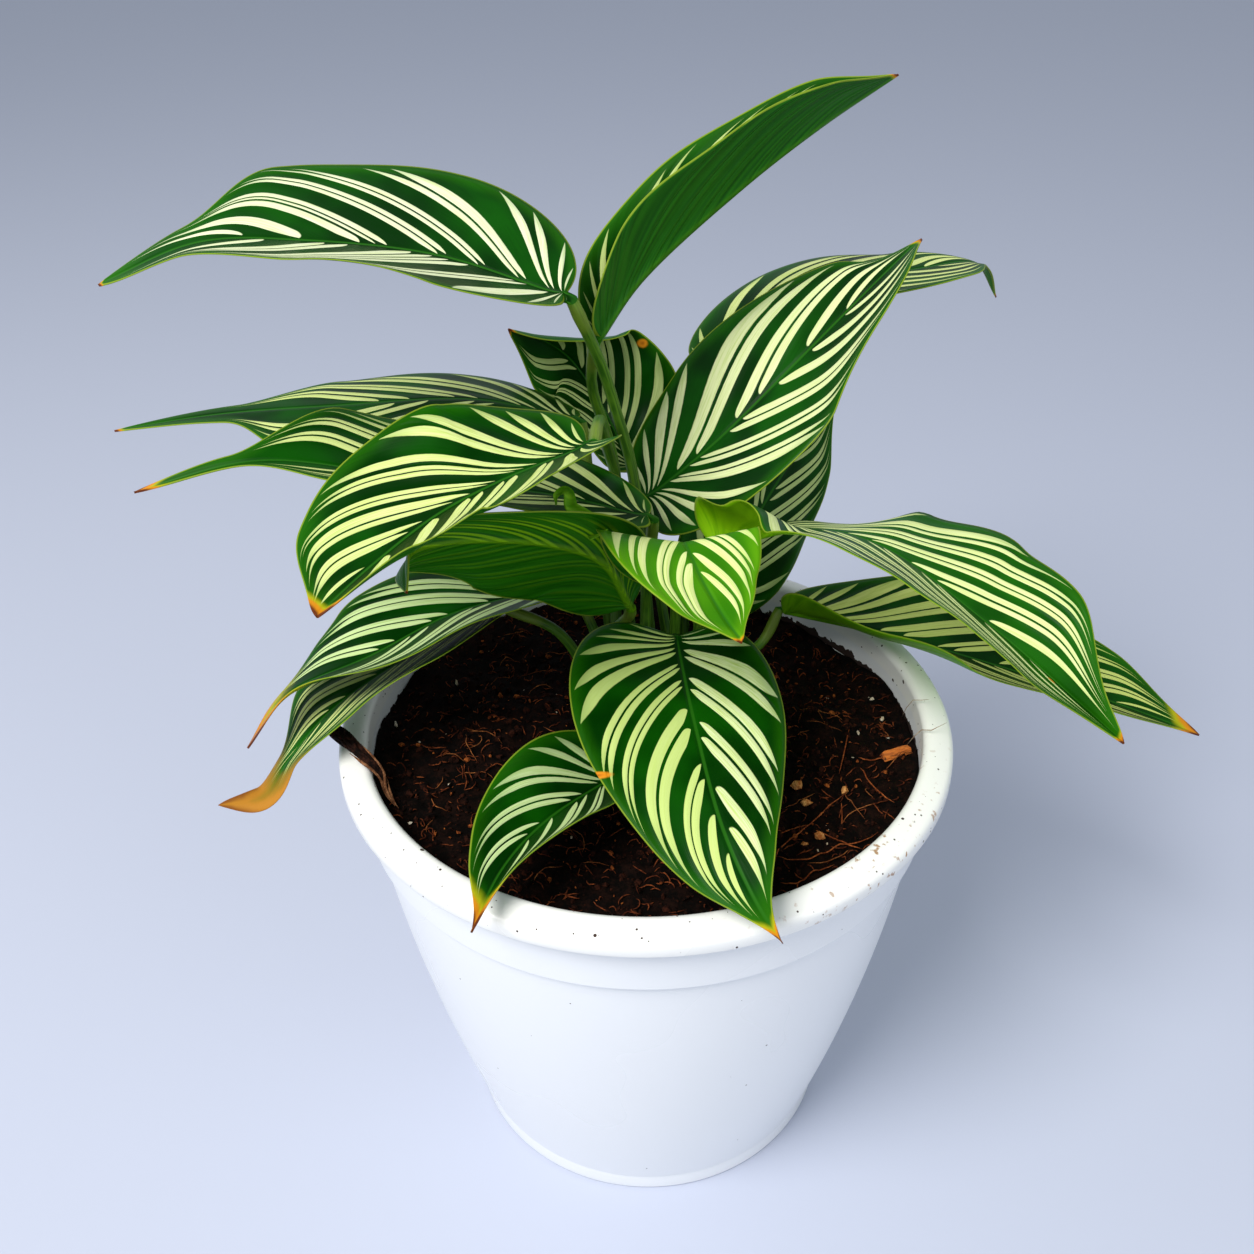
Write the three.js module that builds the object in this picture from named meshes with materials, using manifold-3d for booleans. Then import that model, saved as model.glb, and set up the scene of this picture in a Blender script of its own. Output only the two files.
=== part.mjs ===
// Vittata calathea, a prayer plant with striped leaves, growing in a white plastic pot.
// Millimetres, +Z up, the front is -Y. The origin is the centre of the pot's flat underside.
import * as THREE from "three";
import { mergeVertices } from "three/addons/utils/BufferGeometryUtils.js";
import Module from "manifold-3d";

const wasm = await Module();
wasm.setup();

// Pot
const POT_HEIGHT = 175;
const POT_SIDES = 40;
const FOOT_RADIUS = 70;
const FOOT_HEIGHT = 8.6;
const FOOT_EDGE = 1.5;
const FOOT_STEP = 0.6;
const SHOULDER_HEIGHT = 145.7;
const SHOULDER_RADIUS = 96.2;
const SHOULDER_STEP = 1.2;
const BODY_BULGE = 2.9;
const BODY_RING_HEIGHTS = [40, 80, 115];
const COLLAR_RADIUS = 98.4;
const COLLAR_BORE_START = 10;
const RIM_INNER_RADIUS = 94.5;
const RIM_OUTER_RADIUS = 105;
const RIM_DEPTH = 8;
const RIM_EDGE = 2;
const RIM_CHAMFER = 0.4;
const RIM_ROLL = 1.8;
const RIM_DRAFT = 1.2;
const RIM_LIP_THICKNESS = 2.4;
const RIM_RECESS = 3;
const WALL_THICKNESS = 2.2;
const FLOOR_THICKNESS = 3;
const DRAIN_HOLES = 6;
const DRAIN_HOLE_RADIUS = 4;
const DRAIN_HOLE_SIDES = 12;
const DRAIN_CIRCLE_RADIUS = 45;
const CUT_OVERRUN = 1;

// Soil
const SOIL_HEIGHT = 162;
const SOIL_GAP = 0.5;
const SOIL_RINGS = 7;
const SOIL_LUMP = 1.4;
const SOIL_LUMP_LENGTH = 9;
const SOIL_LUMP_STRETCH = 0.8;
const SOIL_LUMP_START = 1;
const SOIL_RIPPLE = 0.6;
const SOIL_RIPPLE_SLANT = [0.7, 1.4];
const SOIL_RIPPLE_START = 2;
const SOIL_HOLLOW = 5;
const SOIL_HOLLOW_PLACE = [62, 48];
const SOIL_HOLLOW_REACH = 31;
const STEM_DEPTH = 22;
const HOLE_GAP = 0.3;
const HOLE_SIDES = 8;
const HOLE_OVERRUN = 10;

// Leaves
const BLADE_THICKNESS = 0.8;
const RIB_AT_BASE = 1.3;
const RIB_AT_TIP = 0.1;
const STALK_RADIUS_AT_SOIL = 2.1;
const STALK_RADIUS_AT_BLADE = 1.7;
const STALK_END = 2.5;
const STALK_UPRIGHT = 3;
const STALK_RING_SPACING = 26;
const STALK_LEAST_RINGS = 5;
const TIP_HALF_WIDTH = 0.4;
const LOBE_LENGTH = 0.12;
const TAIL_EASE = 0.2;
const CURL_STEPS = 8;
const SLOPE_STEP = 0.01;
const SLOPE_WIDTH = 0.1;
const BLADE_ROWS = [0.012, 0.05, 0.11, 0.19, 0.28, 0.38, 0.48, 0.58, 0.68, 0.78, 0.87, 0.95, 1];
const BLADE_COLUMNS = [1, 0.68, 0.34, 0, -0.34, -0.68, -1];

// Litter
const FIBRE_RADII = [2, 2.5, 1.8, 1.1, 0.6];
const FIBRE_SIDES = 9;
const FIBRE_RINGS = 15;
const FIBRE_STRANDS = 3;
const FIBRE_STRAND_BULGE = 0.25;
const FIBRE_TWIST = 200;
const BARK_PLACE = [86, -11];
const BARK_TURN = 28;
const LITTER_GAP = 0.3;

// Nearest that two points of one solid may lie to each other
const LEAST_EDGE = 1e-4;

const finish = {
  pot: new THREE.MeshStandardMaterial({ color: 0xf1f2f0, roughness: 0.3, metalness: 0 }),
  soil: new THREE.MeshStandardMaterial({ color: 0x1c1210, roughness: 0.95, metalness: 0 }),
  leaf: new THREE.MeshStandardMaterial({ color: 0x2c6b1e, roughness: 0.4, metalness: 0 }),
  fibre: new THREE.MeshStandardMaterial({ color: 0x3a2418, roughness: 0.9, metalness: 0 }),
  bark: new THREE.MeshStandardMaterial({ color: 0xa8531a, roughness: 0.85, metalness: 0 }),
};

const plant = new THREE.Group();

function add(name, geometry, material) {
  const mesh = new THREE.Mesh(geometry, material);
  mesh.name = name;
  plant.add(mesh);
}

// Joining and cutting

function bare(geometry) {
  const copy = geometry.index ? geometry.clone() : mergeVertices(geometry);
  for (const name of Object.keys(copy.attributes)) {
    if (name !== "position") copy.deleteAttribute(name);
  }
  return mergeVertices(copy, LEAST_EDGE);
}

function solidFrom(geometry) {
  const merged = bare(geometry);
  return new wasm.Manifold(new wasm.Mesh({
    numProp: 3,
    vertProperties: new Float32Array(merged.attributes.position.array),
    triVerts: new Uint32Array(merged.index.array),
  }));
}

function geometryFrom(solid) {
  const mesh = solid.getMesh();
  const geometry = new THREE.BufferGeometry();
  geometry.setAttribute("position", new THREE.BufferAttribute(mesh.vertProperties.slice(), 3));
  geometry.setIndex(new THREE.BufferAttribute(mesh.triVerts.slice(), 1));
  return geometry;
}

// Upright pin used to cut round holes, its flats at least the given radius from its axis
function pin(x, y, bottom, top, radius, sides) {
  const corner = radius / Math.cos(Math.PI / sides);
  const geometry = new THREE.CylinderGeometry(corner, corner, top - bottom, sides);
  geometry.rotateX(Math.PI / 2);
  geometry.translate(x, y, (bottom + top) / 2);
  return solidFrom(geometry);
}

function turned(profile) {
  const points = profile.map(([radius, height]) => new THREE.Vector2(radius, height));
  const geometry = new THREE.LatheGeometry(points, POT_SIDES);
  geometry.rotateX(Math.PI / 2);
  return geometry;
}

// Skin through rings of equal count, its two ends closed by the given triangles
function skin(rings, sideTriangles, endTriangles) {
  const around = rings[0].length;
  const index = [];
  for (let r = 0; r < rings.length - 1; r += 1) {
    for (let j = 0; j < around; j += 1) {
      const a = r * around + j;
      const b = r * around + ((j + 1) % around);
      index.push(...sideTriangles(a, b, a + around, b + around, j));
    }
  }
  const last = (rings.length - 1) * around;
  for (const [a, b, c] of endTriangles) {
    index.push(a, b, c, last + a, last + c, last + b);
  }
  const geometry = new THREE.BufferGeometry();
  const positions = rings.flat().flatMap((point) => point.toArray());
  geometry.setAttribute("position", new THREE.Float32BufferAttribute(positions, 3));
  geometry.setIndex(index);
  return geometry;
}

// Pot: one moulded shell with a foot band, a convex body, a collar and a wide rolled rim

function bodyRadius(height) {
  const u = (height - FOOT_HEIGHT) / (SHOULDER_HEIGHT - FOOT_HEIGHT);
  const foot = FOOT_RADIUS + FOOT_STEP;
  return foot + (SHOULDER_RADIUS - foot) * u + 4 * BODY_BULGE * u * (1 - u);
}

function innerRadius(height) {
  return bodyRadius(height) - WALL_THICKNESS;
}

function potProfile() {
  const rimBottom = POT_HEIGHT - RIM_DEPTH;
  const rimMiddle = (RIM_INNER_RADIUS + RIM_OUTER_RADIUS) / 2;
  const lip = RIM_OUTER_RADIUS - RIM_LIP_THICKNESS;
  const outside = [
    [0, 0],
    [FOOT_RADIUS - FOOT_EDGE, 0],
    [FOOT_RADIUS, FOOT_EDGE],
    [FOOT_RADIUS, FOOT_HEIGHT - FOOT_STEP],
    [FOOT_RADIUS + FOOT_STEP, FOOT_HEIGHT],
    ...BODY_RING_HEIGHTS.map((height) => [bodyRadius(height), height]),
    [SHOULDER_RADIUS, SHOULDER_HEIGHT],
    [COLLAR_RADIUS, SHOULDER_HEIGHT + SHOULDER_STEP],
    [COLLAR_RADIUS, rimBottom + RIM_RECESS],
    [lip, rimBottom + RIM_RECESS],
    [lip, rimBottom],
    [RIM_OUTER_RADIUS - RIM_CHAMFER, rimBottom],
    [RIM_OUTER_RADIUS, rimBottom + RIM_EDGE],
    [RIM_OUTER_RADIUS - RIM_DRAFT, POT_HEIGHT - RIM_ROLL],
    [rimMiddle + RIM_DRAFT, POT_HEIGHT],
    [rimMiddle - RIM_ROLL, POT_HEIGHT],
  ];
  const inside = [
    [RIM_INNER_RADIUS, POT_HEIGHT - RIM_ROLL - RIM_CHAMFER],
    [RIM_INNER_RADIUS, SHOULDER_HEIGHT + COLLAR_BORE_START],
    ...BODY_RING_HEIGHTS.toReversed().map((height) => [innerRadius(height), height]),
    [innerRadius(FOOT_HEIGHT), FLOOR_THICKNESS],
    [0, FLOOR_THICKNESS],
  ];
  return [...outside, ...inside];
}

function potGeometry() {
  let shell = solidFrom(turned(potProfile()));
  for (let i = 0; i < DRAIN_HOLES; i += 1) {
    const angle = (2 * Math.PI * i) / DRAIN_HOLES;
    const x = DRAIN_CIRCLE_RADIUS * Math.cos(angle);
    const y = DRAIN_CIRCLE_RADIUS * Math.sin(angle);
    const top = FLOOR_THICKNESS + CUT_OVERRUN;
    shell = shell.subtract(pin(x, y, -CUT_OVERRUN, top, DRAIN_HOLE_RADIUS, DRAIN_HOLE_SIDES));
  }
  return geometryFrom(shell);
}

// Leaf shape: a curved midrib with two half blades that fold and curl about it

function direction(azimuth, elevation) {
  const a = THREE.MathUtils.degToRad(azimuth);
  const e = THREE.MathUtils.degToRad(elevation);
  return new THREE.Vector3(Math.cos(a) * Math.cos(e), Math.sin(a) * Math.cos(e), Math.sin(e));
}

function smooth(u) {
  const v = Math.min(Math.max(u, 0), 1);
  return v * v * (3 - 2 * v);
}

// Value at s, from 0 to 1, through keys that are spread evenly
function along(keys, s) {
  const gap = 1 / (keys.length - 1);
  const i = Math.min(Math.floor(Math.max(s, 0) / gap), keys.length - 2);
  return keys[i] + (keys[i + 1] - keys[i]) * smooth(s / gap - i);
}

// Half width of the flat blade as a share of the widest: round base, pointed tip
function outline(s, leaf) {
  const fall = (0.5 * (1 - leaf.broadest)) / leaf.broadest;
  const share = Math.sqrt(s / leaf.broadest) * ((1 - s) / (1 - leaf.broadest)) ** fall;
  return share * (1 - leaf.tail.narrowing * smooth((s - leaf.tail.start) / TAIL_EASE));
}

function curveThrough(points) {
  const knots = points.map((point) => new THREE.Vector3(...point));
  const curve = new THREE.CatmullRomCurve3(knots, false, "centripetal");
  curve.arcLengthDivisions = 400;
  return curve;
}

function frameAt(leaf, curve, s) {
  const inside = Math.min(Math.max(s, 0), 1);
  const tangent = curve.getTangentAt(inside);
  const normal = direction(...leaf.faces);
  normal.addScaledVector(tangent, -normal.dot(tangent)).normalize();
  normal.applyAxisAngle(tangent, THREE.MathUtils.degToRad(along(leaf.twist, inside)));
  const side = normal.clone().cross(tangent);
  const centre = curve.getPointAt(inside);
  centre.addScaledVector(tangent, (s - inside) * leaf.length);
  return { centre, tangent, normal, side };
}

// Point of the middle surface: s runs from base to tip, t from the right margin to the left
function bladePoint(leaf, curve, s, t) {
  const half = t < 0 ? leaf.right : leaf.left;
  const reach = Math.abs(t);
  const share = outline(s, leaf);
  const width = Math.max(half.width * share, TIP_HALF_WIDTH);
  const back = leaf.lobe * reach * reach * share * Math.exp(-s / LOBE_LENGTH);
  const frame = frameAt(leaf, curve, s - back / leaf.length);
  const fold = THREE.MathUtils.degToRad(along(half.fold, s));
  const curl = THREE.MathUtils.degToRad(along(half.curl, s));
  let across = 0;
  let rise = 0;
  for (let i = 0; i < CURL_STEPS; i += 1) {
    const angle = fold + (curl * reach * (i + 0.5)) / CURL_STEPS;
    across += (Math.cos(angle) * width * reach) / CURL_STEPS;
    rise += (Math.sin(angle) * width * reach) / CURL_STEPS;
  }
  return frame.centre
    .addScaledVector(frame.side, Math.sign(t) * across)
    .addScaledVector(frame.normal, rise);
}

// Surface normal of the middle surface; on the midrib it is the frame's own
function bladeNormal(leaf, curve, s, t) {
  if (t === 0) return frameAt(leaf, curve, s).normal;
  const low = Math.max(s - SLOPE_STEP, SLOPE_STEP / 5);
  const high = Math.min(s + SLOPE_STEP, 1);
  const alongBlade = bladePoint(leaf, curve, high, t).sub(bladePoint(leaf, curve, low, t));
  const outer = Math.min(Math.abs(t) + SLOPE_WIDTH / 2, 1) * Math.sign(t);
  const inner = outer - SLOPE_WIDTH * Math.sign(t);
  const acrossBlade = bladePoint(leaf, curve, s, outer).sub(bladePoint(leaf, curve, s, inner));
  return alongBlade.cross(acrossBlade).multiplyScalar(Math.sign(t)).normalize();
}

// Rings round the stalk, from its foot in the soil up to the blade
function stalkRings(leaf, curve) {
  const base = frameAt(leaf, curve, 0);
  const end = base.centre.clone().addScaledVector(base.tangent, -STALK_END);
  const [x, y] = leaf.root;
  const stalk = curveThrough([
    [x, y, SOIL_HEIGHT - STEM_DEPTH],
    [x, y, SOIL_HEIGHT + STALK_UPRIGHT],
    ...leaf.stalk,
    end.toArray(),
  ]);
  const length = stalk.getLength();
  const last = Math.max(STALK_LEAST_RINGS, Math.round(length / STALK_RING_SPACING));
  const soilShare = (STEM_DEPTH + STALK_UPRIGHT) / length;
  const points = 2 * BLADE_COLUMNS.length;
  const rings = [];
  let normal = base.normal;
  let above = base.tangent;
  for (let i = last; i >= 0; i -= 1) {
    const u = i === 0 ? 0 : THREE.MathUtils.lerp(soilShare, 1, (i - 1) / (last - 1));
    const tangent = i <= 1 ? new THREE.Vector3(0, 0, 1) : stalk.getTangentAt(u);
    const turn = new THREE.Quaternion().setFromUnitVectors(above, tangent);
    normal = normal.clone().applyQuaternion(turn);
    above = tangent;
    const side = normal.clone().cross(tangent);
    const radius = THREE.MathUtils.lerp(STALK_RADIUS_AT_SOIL, STALK_RADIUS_AT_BLADE, u);
    const ring = [];
    for (let j = 0; j < points; j += 1) {
      const angle = (2 * Math.PI * (j + 0.5)) / points;
      ring.push(stalk.getPointAt(u)
        .addScaledVector(side, radius * Math.cos(angle))
        .addScaledVector(normal, radius * Math.sin(angle)));
    }
    rings.unshift(ring);
  }
  return rings;
}

// One closed skin: rings round the stalk from its foot, then rings round the blade to the tip
function leafGeometry(leaf) {
  const curve = curveThrough(leaf.midrib);
  leaf.length = curve.getLength();
  const rings = stalkRings(leaf, curve);
  for (const s of BLADE_ROWS) {
    const top = [];
    const under = [];
    for (const t of BLADE_COLUMNS) {
      const point = bladePoint(leaf, curve, s, t);
      const out = bladeNormal(leaf, curve, s, t);
      const rib = t === 0 ? THREE.MathUtils.lerp(RIB_AT_BASE, RIB_AT_TIP, s) : 0;
      top.push(point.clone().addScaledVector(out, BLADE_THICKNESS / 2));
      under.unshift(point.clone().addScaledVector(out, -BLADE_THICKNESS / 2 - rib));
    }
    rings.push([...top, ...under]);
  }
  const columns = BLADE_COLUMNS.length;
  const around = 2 * columns;
  // The underside is split into the same triangles as the upper side
  const side = (a, b, c, d, j) => (
    j >= columns && j < around - 1 ? [a, b, c, b, d, c] : [a, b, d, a, d, c]
  );
  const ends = [];
  for (let j = 0; j < columns - 1; j += 1) {
    const mate = around - 1 - j;
    ends.push([j, mate, mate - 1], [j, mate - 1, j + 1]);
  }
  return skin(rings, side, ends);
}

const roots = [];

// Adds a leaf; the values not given are those of a flat, evenly grown one
function leaf(name, values) {
  const shape = {
    broadest: 0.38,
    lobe: 12,
    twist: [0, 0],
    tail: { start: 0.78, narrowing: 0.35 },
    stalk: [],
    ...values,
  };
  roots.push(shape.root);
  add(name, leafGeometry(shape), finish.leaf);
}

// Upper left leaf, held out level on a tall stalk, its tail turned over
leaf("leaf_01", {
  root: [3, 22],
  stalk: [[-3, 27, 250], [-8, 24, 274], [-12, 18, 292]],
  midrib: [[-22, 2, 320], [-57, 8, 330], [-94, 4, 336], [-120, -3, 338], [-150, -4, 327]],
  faces: [262, 71],
  left: { width: 34, fold: [20, 20, 4], curl: [16, 16] },
  right: { width: 35, fold: [10, 8, 2], curl: [-5, -5] },
  broadest: 0.41,
  tail: { start: 0.6, narrowing: 0.6 },
});

// Upper right leaf, still half rolled, with its underside to the front
leaf("leaf_02", {
  root: [-4, 30],
  stalk: [[-10, 42, 249], [-16, 34, 279]],
  midrib: [[-13, 22, 300], [0, 38, 313], [31, 53, 336], [56, 65, 351], [81, 79, 363]],
  faces: [171, 62],
  twist: [0, 0, 10],
  left: { width: 21, fold: [75, 58, 68], curl: [4, 4] },
  right: { width: 22, fold: [68, 62, 64], curl: [-9, -9] },
  broadest: 0.39,
  lobe: 6,
  tail: { start: 0.8, narrowing: 0.33 },
});

// Large upright leaf on the right
leaf("leaf_03", {
  root: [10, 36],
  midrib: [[2, 48, 231], [25, 46, 253], [52, 51, 280], [77, 53, 307], [91, 64, 316]],
  faces: [227, 45],
  twist: [0, 0, -18],
  left: { width: 35, fold: [8, 6, 4], curl: [-8, -8] },
  right: { width: 35, fold: [10, 13, 16], curl: [6, 6] },
  lobe: 17,
});

// Leaf behind the upright one, with a hooked tip
leaf("leaf_04", {
  root: [15, 50],
  midrib: [[21, 82, 267], [56, 93, 288], [99, 103, 293], [125, 117, 290], [137, 130, 273]],
  faces: [232, 72],
  left: { width: 30, fold: [4, -5, 10], curl: [-21, -21] },
  right: { width: 30, fold: [10, 17, 9], curl: [6, 6] },
  tail: { start: 0.66, narrowing: 0.85 },
});

// Shaded leaf low behind the upright one
leaf("leaf_05", {
  root: [23, 44],
  midrib: [[21, 50, 182], [31, 53, 198], [41, 59, 216], [54, 71, 233], [71, 88, 249]],
  faces: [306, 25],
  left: { width: 28, fold: [14, 2, 10], curl: [-3, -3] },
  right: { width: 28, fold: [11, -3, 9], curl: [-12, -12] },
  lobe: 11,
});

// Back leaf in the middle
leaf("leaf_06", {
  root: [3, 44],
  midrib: [[-4, 76, 228], [-16, 98, 245], [-26, 104, 259], [-35, 95, 271], [-47, 83, 280]],
  faces: [300, 8],
  twist: [0, 0, -37],
  left: { width: 29, fold: [14, 28, 19], curl: [26, 26] },
  right: { width: 31, fold: [7, 28, 45], curl: [28, 28] },
});

// Large front leaf on the left
leaf("leaf_07", {
  root: [-11, 19],
  stalk: [[-9, 33, 246], [-12, 30, 261], [-13, 9, 279]],
  midrib: [[-16, -16, 282], [-39, -35, 281], [-55, -46, 277], [-70, -63, 272], [-81, -85, 270]],
  faces: [229, 56],
  left: { width: 30, fold: [23, 20, 15], curl: [25, 25] },
  right: { width: 32, fold: [6, 18, 17], curl: [6, 6] },
  broadest: 0.43,
  lobe: 26,
});

// Long leaf behind it, with a rolled tail
leaf("leaf_08", {
  root: [-11, 33],
  midrib: [[-23, 50, 260], [-56, 54, 266], [-106, 50, 266], [-145, 53, 262], [-183, 54, 256]],
  faces: [270, 89],
  left: { width: 31, fold: [-10, -5, 9], curl: [-3, -3] },
  right: { width: 31, fold: [-2, 2, 13], curl: [-17, -17] },
  tail: { start: 0.54, narrowing: 0.68 },
});

// Long leaf below that one, its base in front of the tall stalks
leaf("leaf_09", {
  root: [0, 13],
  stalk: [[1, 15, 215]],
  midrib: [[1, 5, 247], [-25, 6, 254], [-68, -1, 264], [-113, -9, 275], [-148, -20, 271]],
  faces: [267, 86],
  twist: [0, 0, -13],
  left: { width: 19, fold: [2, 14, 15], curl: [11, 11] },
  right: { width: 30, fold: [0, 10, 24], curl: [-2, -2] },
  broadest: 0.4,
  lobe: 14,
  tail: { start: 0.62, narrowing: 0.8 },
});

// Low left leaf
leaf("leaf_10", {
  root: [-11, 26],
  midrib: [[-27, 37, 201], [-64, 20, 202], [-92, -1, 198], [-118, -16, 193], [-129, -29, 182]],
  faces: [279, 89],
  twist: [0, 0, 26],
  left: { width: 28, fold: [18, 19, 10], curl: [15, 15] },
  right: { width: 29, fold: [-2, 17, -9], curl: [-14, -14] },
  broadest: 0.4,
  tail: { start: 0.69, narrowing: 0.5 },
});

// Shaded leaf under the low left one
leaf("leaf_11", {
  root: [-18, 20],
  stalk: [[-30, 24, 190]],
  midrib: [
    [-51, 26, 198],
    [-84, 5, 191],
    [-105, -13, 184],
    [-117, -27, 175],
    [-124, -38, 169],
    [-137, -43, 170],
  ],
  faces: [206, 54],
  twist: [0, 0, 0, 0, -60],
  left: { width: 27, fold: [22, 15, 1], curl: [13, 13] },
  right: { width: 27, fold: [10, 10, -15], curl: [-13, -13] },
  tail: { start: 0.56, narrowing: 0.55 },
});

// Green leaf in the middle that shows its underside
leaf("leaf_12", {
  root: [-11, 11],
  stalk: [[-10, 15, 196], [-5, 9, 207]],
  midrib: [[-5, 1, 217], [-14, -10, 241], [-41, -27, 258], [-65, -39, 261], [-65, -54, 257]],
  faces: [108, 20],
  left: { width: 17, fold: [40, 2, 14], curl: [-23, -23] },
  right: { width: 28, fold: [5, 6, 18], curl: [-4, -4] },
  lobe: 7,
});

// Young pale leaf that arches forward in the middle
leaf("leaf_13", {
  root: [10, 15],
  stalk: [[11, 14, 208]],
  midrib: [
    [12, -9, 230],
    [12, -18, 246],
    [12, -25, 255],
    [17, -41, 251],
    [22, -50, 246],
    [27, -59, 243],
  ],
  faces: [90, 75],
  twist: [0, 7],
  left: { width: 23, fold: [8, 6, 9], curl: [-2, -2] },
  right: { width: 26, fold: [6, 12, 12], curl: [4, 4] },
});

// Large arching leaf on the right, its front half folded over at the base
leaf("leaf_14", {
  root: [17, 22],
  midrib: [[24, 12, 231], [48, 9, 240], [72, -6, 243], [102, -28, 229], [142, -54, 202]],
  faces: [287, 83],
  twist: [0, 0, 17],
  left: { width: 37.5, fold: [-37, -26, -10, 12, 34, 48], curl: [-6, -8] },
  right: { width: 37, fold: [120, 58, 24, 26, 30, 33, 35, 37, 39], curl: [10, 5] },
  lobe: 24,
  tail: { start: 0.74, narrowing: 0.43 },
});

// Low right leaf, its front half rolled up at the base
leaf("leaf_15", {
  root: [24, 30],
  stalk: [[44, 43, 172]],
  midrib: [[53, 48, 183], [83, 36, 182], [115, 31, 174], [168, 18, 162], [200, 11, 152]],
  faces: [270, 88],
  left: { width: 32, fold: [-3, 24, 19], curl: [5, 5] },
  right: { width: 31, fold: [40, 20, 16, 16, 16], curl: [50, 30, 22, 22, 22] },
  broadest: 0.39,
  lobe: 14,
});

// Heart-shaped front leaf that hangs over the rim
leaf("leaf_16", {
  root: [7, 4],
  midrib: [[11, 3, 201], [15, -40, 201], [22, -80, 193], [30, -101, 186], [36, -115, 185]],
  faces: [278, 51],
  twist: [0, 0, 14],
  left: { width: 30, fold: [16, -6, 11], curl: [-12, -12] },
  right: { width: 38, fold: [18, 5, 2], curl: [-1, -1] },
  broadest: 0.29,
  lobe: 21,
});

// Small front leaf on the left
leaf("leaf_17", {
  root: [-2, -4],
  midrib: [[-9, -33, 173], [-30, -61, 179], [-41, -84, 182], [-48, -106, 180]],
  faces: [253, 64],
  twist: [0, 9],
  left: { width: 20, fold: [28, 17, 25], curl: [33, 33] },
  right: { width: 23, fold: [26, 16, 18], curl: [23, 23] },
  broadest: 0.29,
  lobe: 14,
});

// Soil: fills the pot, with a lumpy top, lower at the back right, and a hole for each stalk

function soilTop(x, y) {
  const u = x / SOIL_LUMP_LENGTH;
  const v = y / SOIL_LUMP_LENGTH;
  const [slantX, slantY] = SOIL_RIPPLE_SLANT;
  const lumps = Math.sin(u + SOIL_LUMP_START) * Math.cos(SOIL_LUMP_STRETCH * v);
  const ripples = SOIL_RIPPLE * Math.sin(slantX * u + slantY * v + SOIL_RIPPLE_START);
  const away = Math.hypot(x - SOIL_HOLLOW_PLACE[0], y - SOIL_HOLLOW_PLACE[1]);
  const hollow = Math.exp(-((away / SOIL_HOLLOW_REACH) ** 2));
  return SOIL_HEIGHT + SOIL_LUMP * (lumps + ripples) - SOIL_HOLLOW * hollow;
}

function soilGeometry() {
  const edge = RIM_INNER_RADIUS - SOIL_GAP;
  const top = [];
  for (let i = 0; i <= SOIL_RINGS; i += 1) {
    top.push([edge * (1 - i / SOIL_RINGS), SOIL_HEIGHT]);
  }
  const bottom = FLOOR_THICKNESS + SOIL_GAP;
  const profile = [
    [0, bottom],
    [innerRadius(FOOT_HEIGHT) - SOIL_GAP, bottom],
    ...BODY_RING_HEIGHTS.map((height) => [innerRadius(height) - SOIL_GAP, height]),
    [edge, SHOULDER_HEIGHT + COLLAR_BORE_START],
    ...top,
  ];
  const geometry = turned(profile);
  const points = geometry.attributes.position;
  for (let i = 0; i < points.count; i += 1) {
    if (points.getZ(i) > SOIL_HEIGHT - LEAST_EDGE) {
      points.setZ(i, soilTop(points.getX(i), points.getY(i)));
    }
  }
  let soil = solidFrom(geometry);
  const floor = SOIL_HEIGHT - STEM_DEPTH - HOLE_GAP;
  const mouth = SOIL_HEIGHT + HOLE_OVERRUN;
  const holeRadius = STALK_RADIUS_AT_SOIL + HOLE_GAP;
  for (const [x, y] of roots) {
    soil = soil.subtract(pin(x, y, floor, mouth, holeRadius, HOLE_SIDES));
  }
  return geometryFrom(soil);
}

// Bundle of dry fibres twisted together, laid over the rim on the left
function fibreGeometry() {
  const route = curveThrough([
    [-109, -12, 176.5],
    [-104.5, -15.5, 178.4],
    [-99, -21, 178.9],
    [-94.5, -26, 179],
    [-91, -28.5, 177.3],
    [-86, -31, 172],
    [-84.5, -33.5, 167.8],
    [-82.5, -37, 166.3],
    [-79.5, -41, 165.7],
  ]);
  const rings = [];
  for (let i = 0; i < FIBRE_RINGS; i += 1) {
    const u = i / (FIBRE_RINGS - 1);
    const tangent = route.getTangentAt(u);
    const side = new THREE.Vector3(0, 0, 1).cross(tangent).normalize();
    const normal = tangent.clone().cross(side);
    const radius = along(FIBRE_RADII, u);
    const ring = [];
    for (let j = 0; j < FIBRE_SIDES; j += 1) {
      const angle = (2 * Math.PI * j) / FIBRE_SIDES;
      const turn = THREE.MathUtils.degToRad(FIBRE_TWIST) * u;
      const bulge = 1 + FIBRE_STRAND_BULGE * Math.sin(FIBRE_STRANDS * (angle + turn));
      ring.push(route.getPointAt(u)
        .addScaledVector(side, radius * bulge * Math.cos(angle))
        .addScaledVector(normal, radius * bulge * Math.sin(angle)));
    }
    rings.push(ring);
  }
  const ends = [];
  for (let j = 1; j < FIBRE_SIDES - 1; j += 1) {
    ends.push([0, j + 1, j]);
  }
  return skin(rings, (a, b, c, d) => [a, b, d, a, d, c], ends);
}

// Chip of bark that lies on the soil at the right
function barkGeometry() {
  const corners = [
    [-5.6, -1.6, 0.4],
    [-5.2, 1.6, 0],
    [5.4, -1.9, 0],
    [5.8, 1.5, 0.5],
    [-5.4, -1.2, 1.9],
    [-4.8, 1.5, 2.4],
    [5, -1.6, 2.7],
    [5.4, 1.1, 2],
    [0.4, 2.1, 1.3],
    [-0.4, -2.2, 0.7],
    [0.3, -0.3, 3.1],
  ];
  const turn = THREE.MathUtils.degToRad(BARK_TURN);
  const [x, y] = BARK_PLACE;
  const seat = new THREE.Vector3(x, y, soilTop(x, y) + LITTER_GAP);
  const up = new THREE.Vector3(0, 0, 1);
  const points = corners.map((corner) => (
    new THREE.Vector3(...corner).applyAxisAngle(up, turn).add(seat).toArray()
  ));
  return geometryFrom(wasm.Manifold.hull(points));
}

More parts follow.
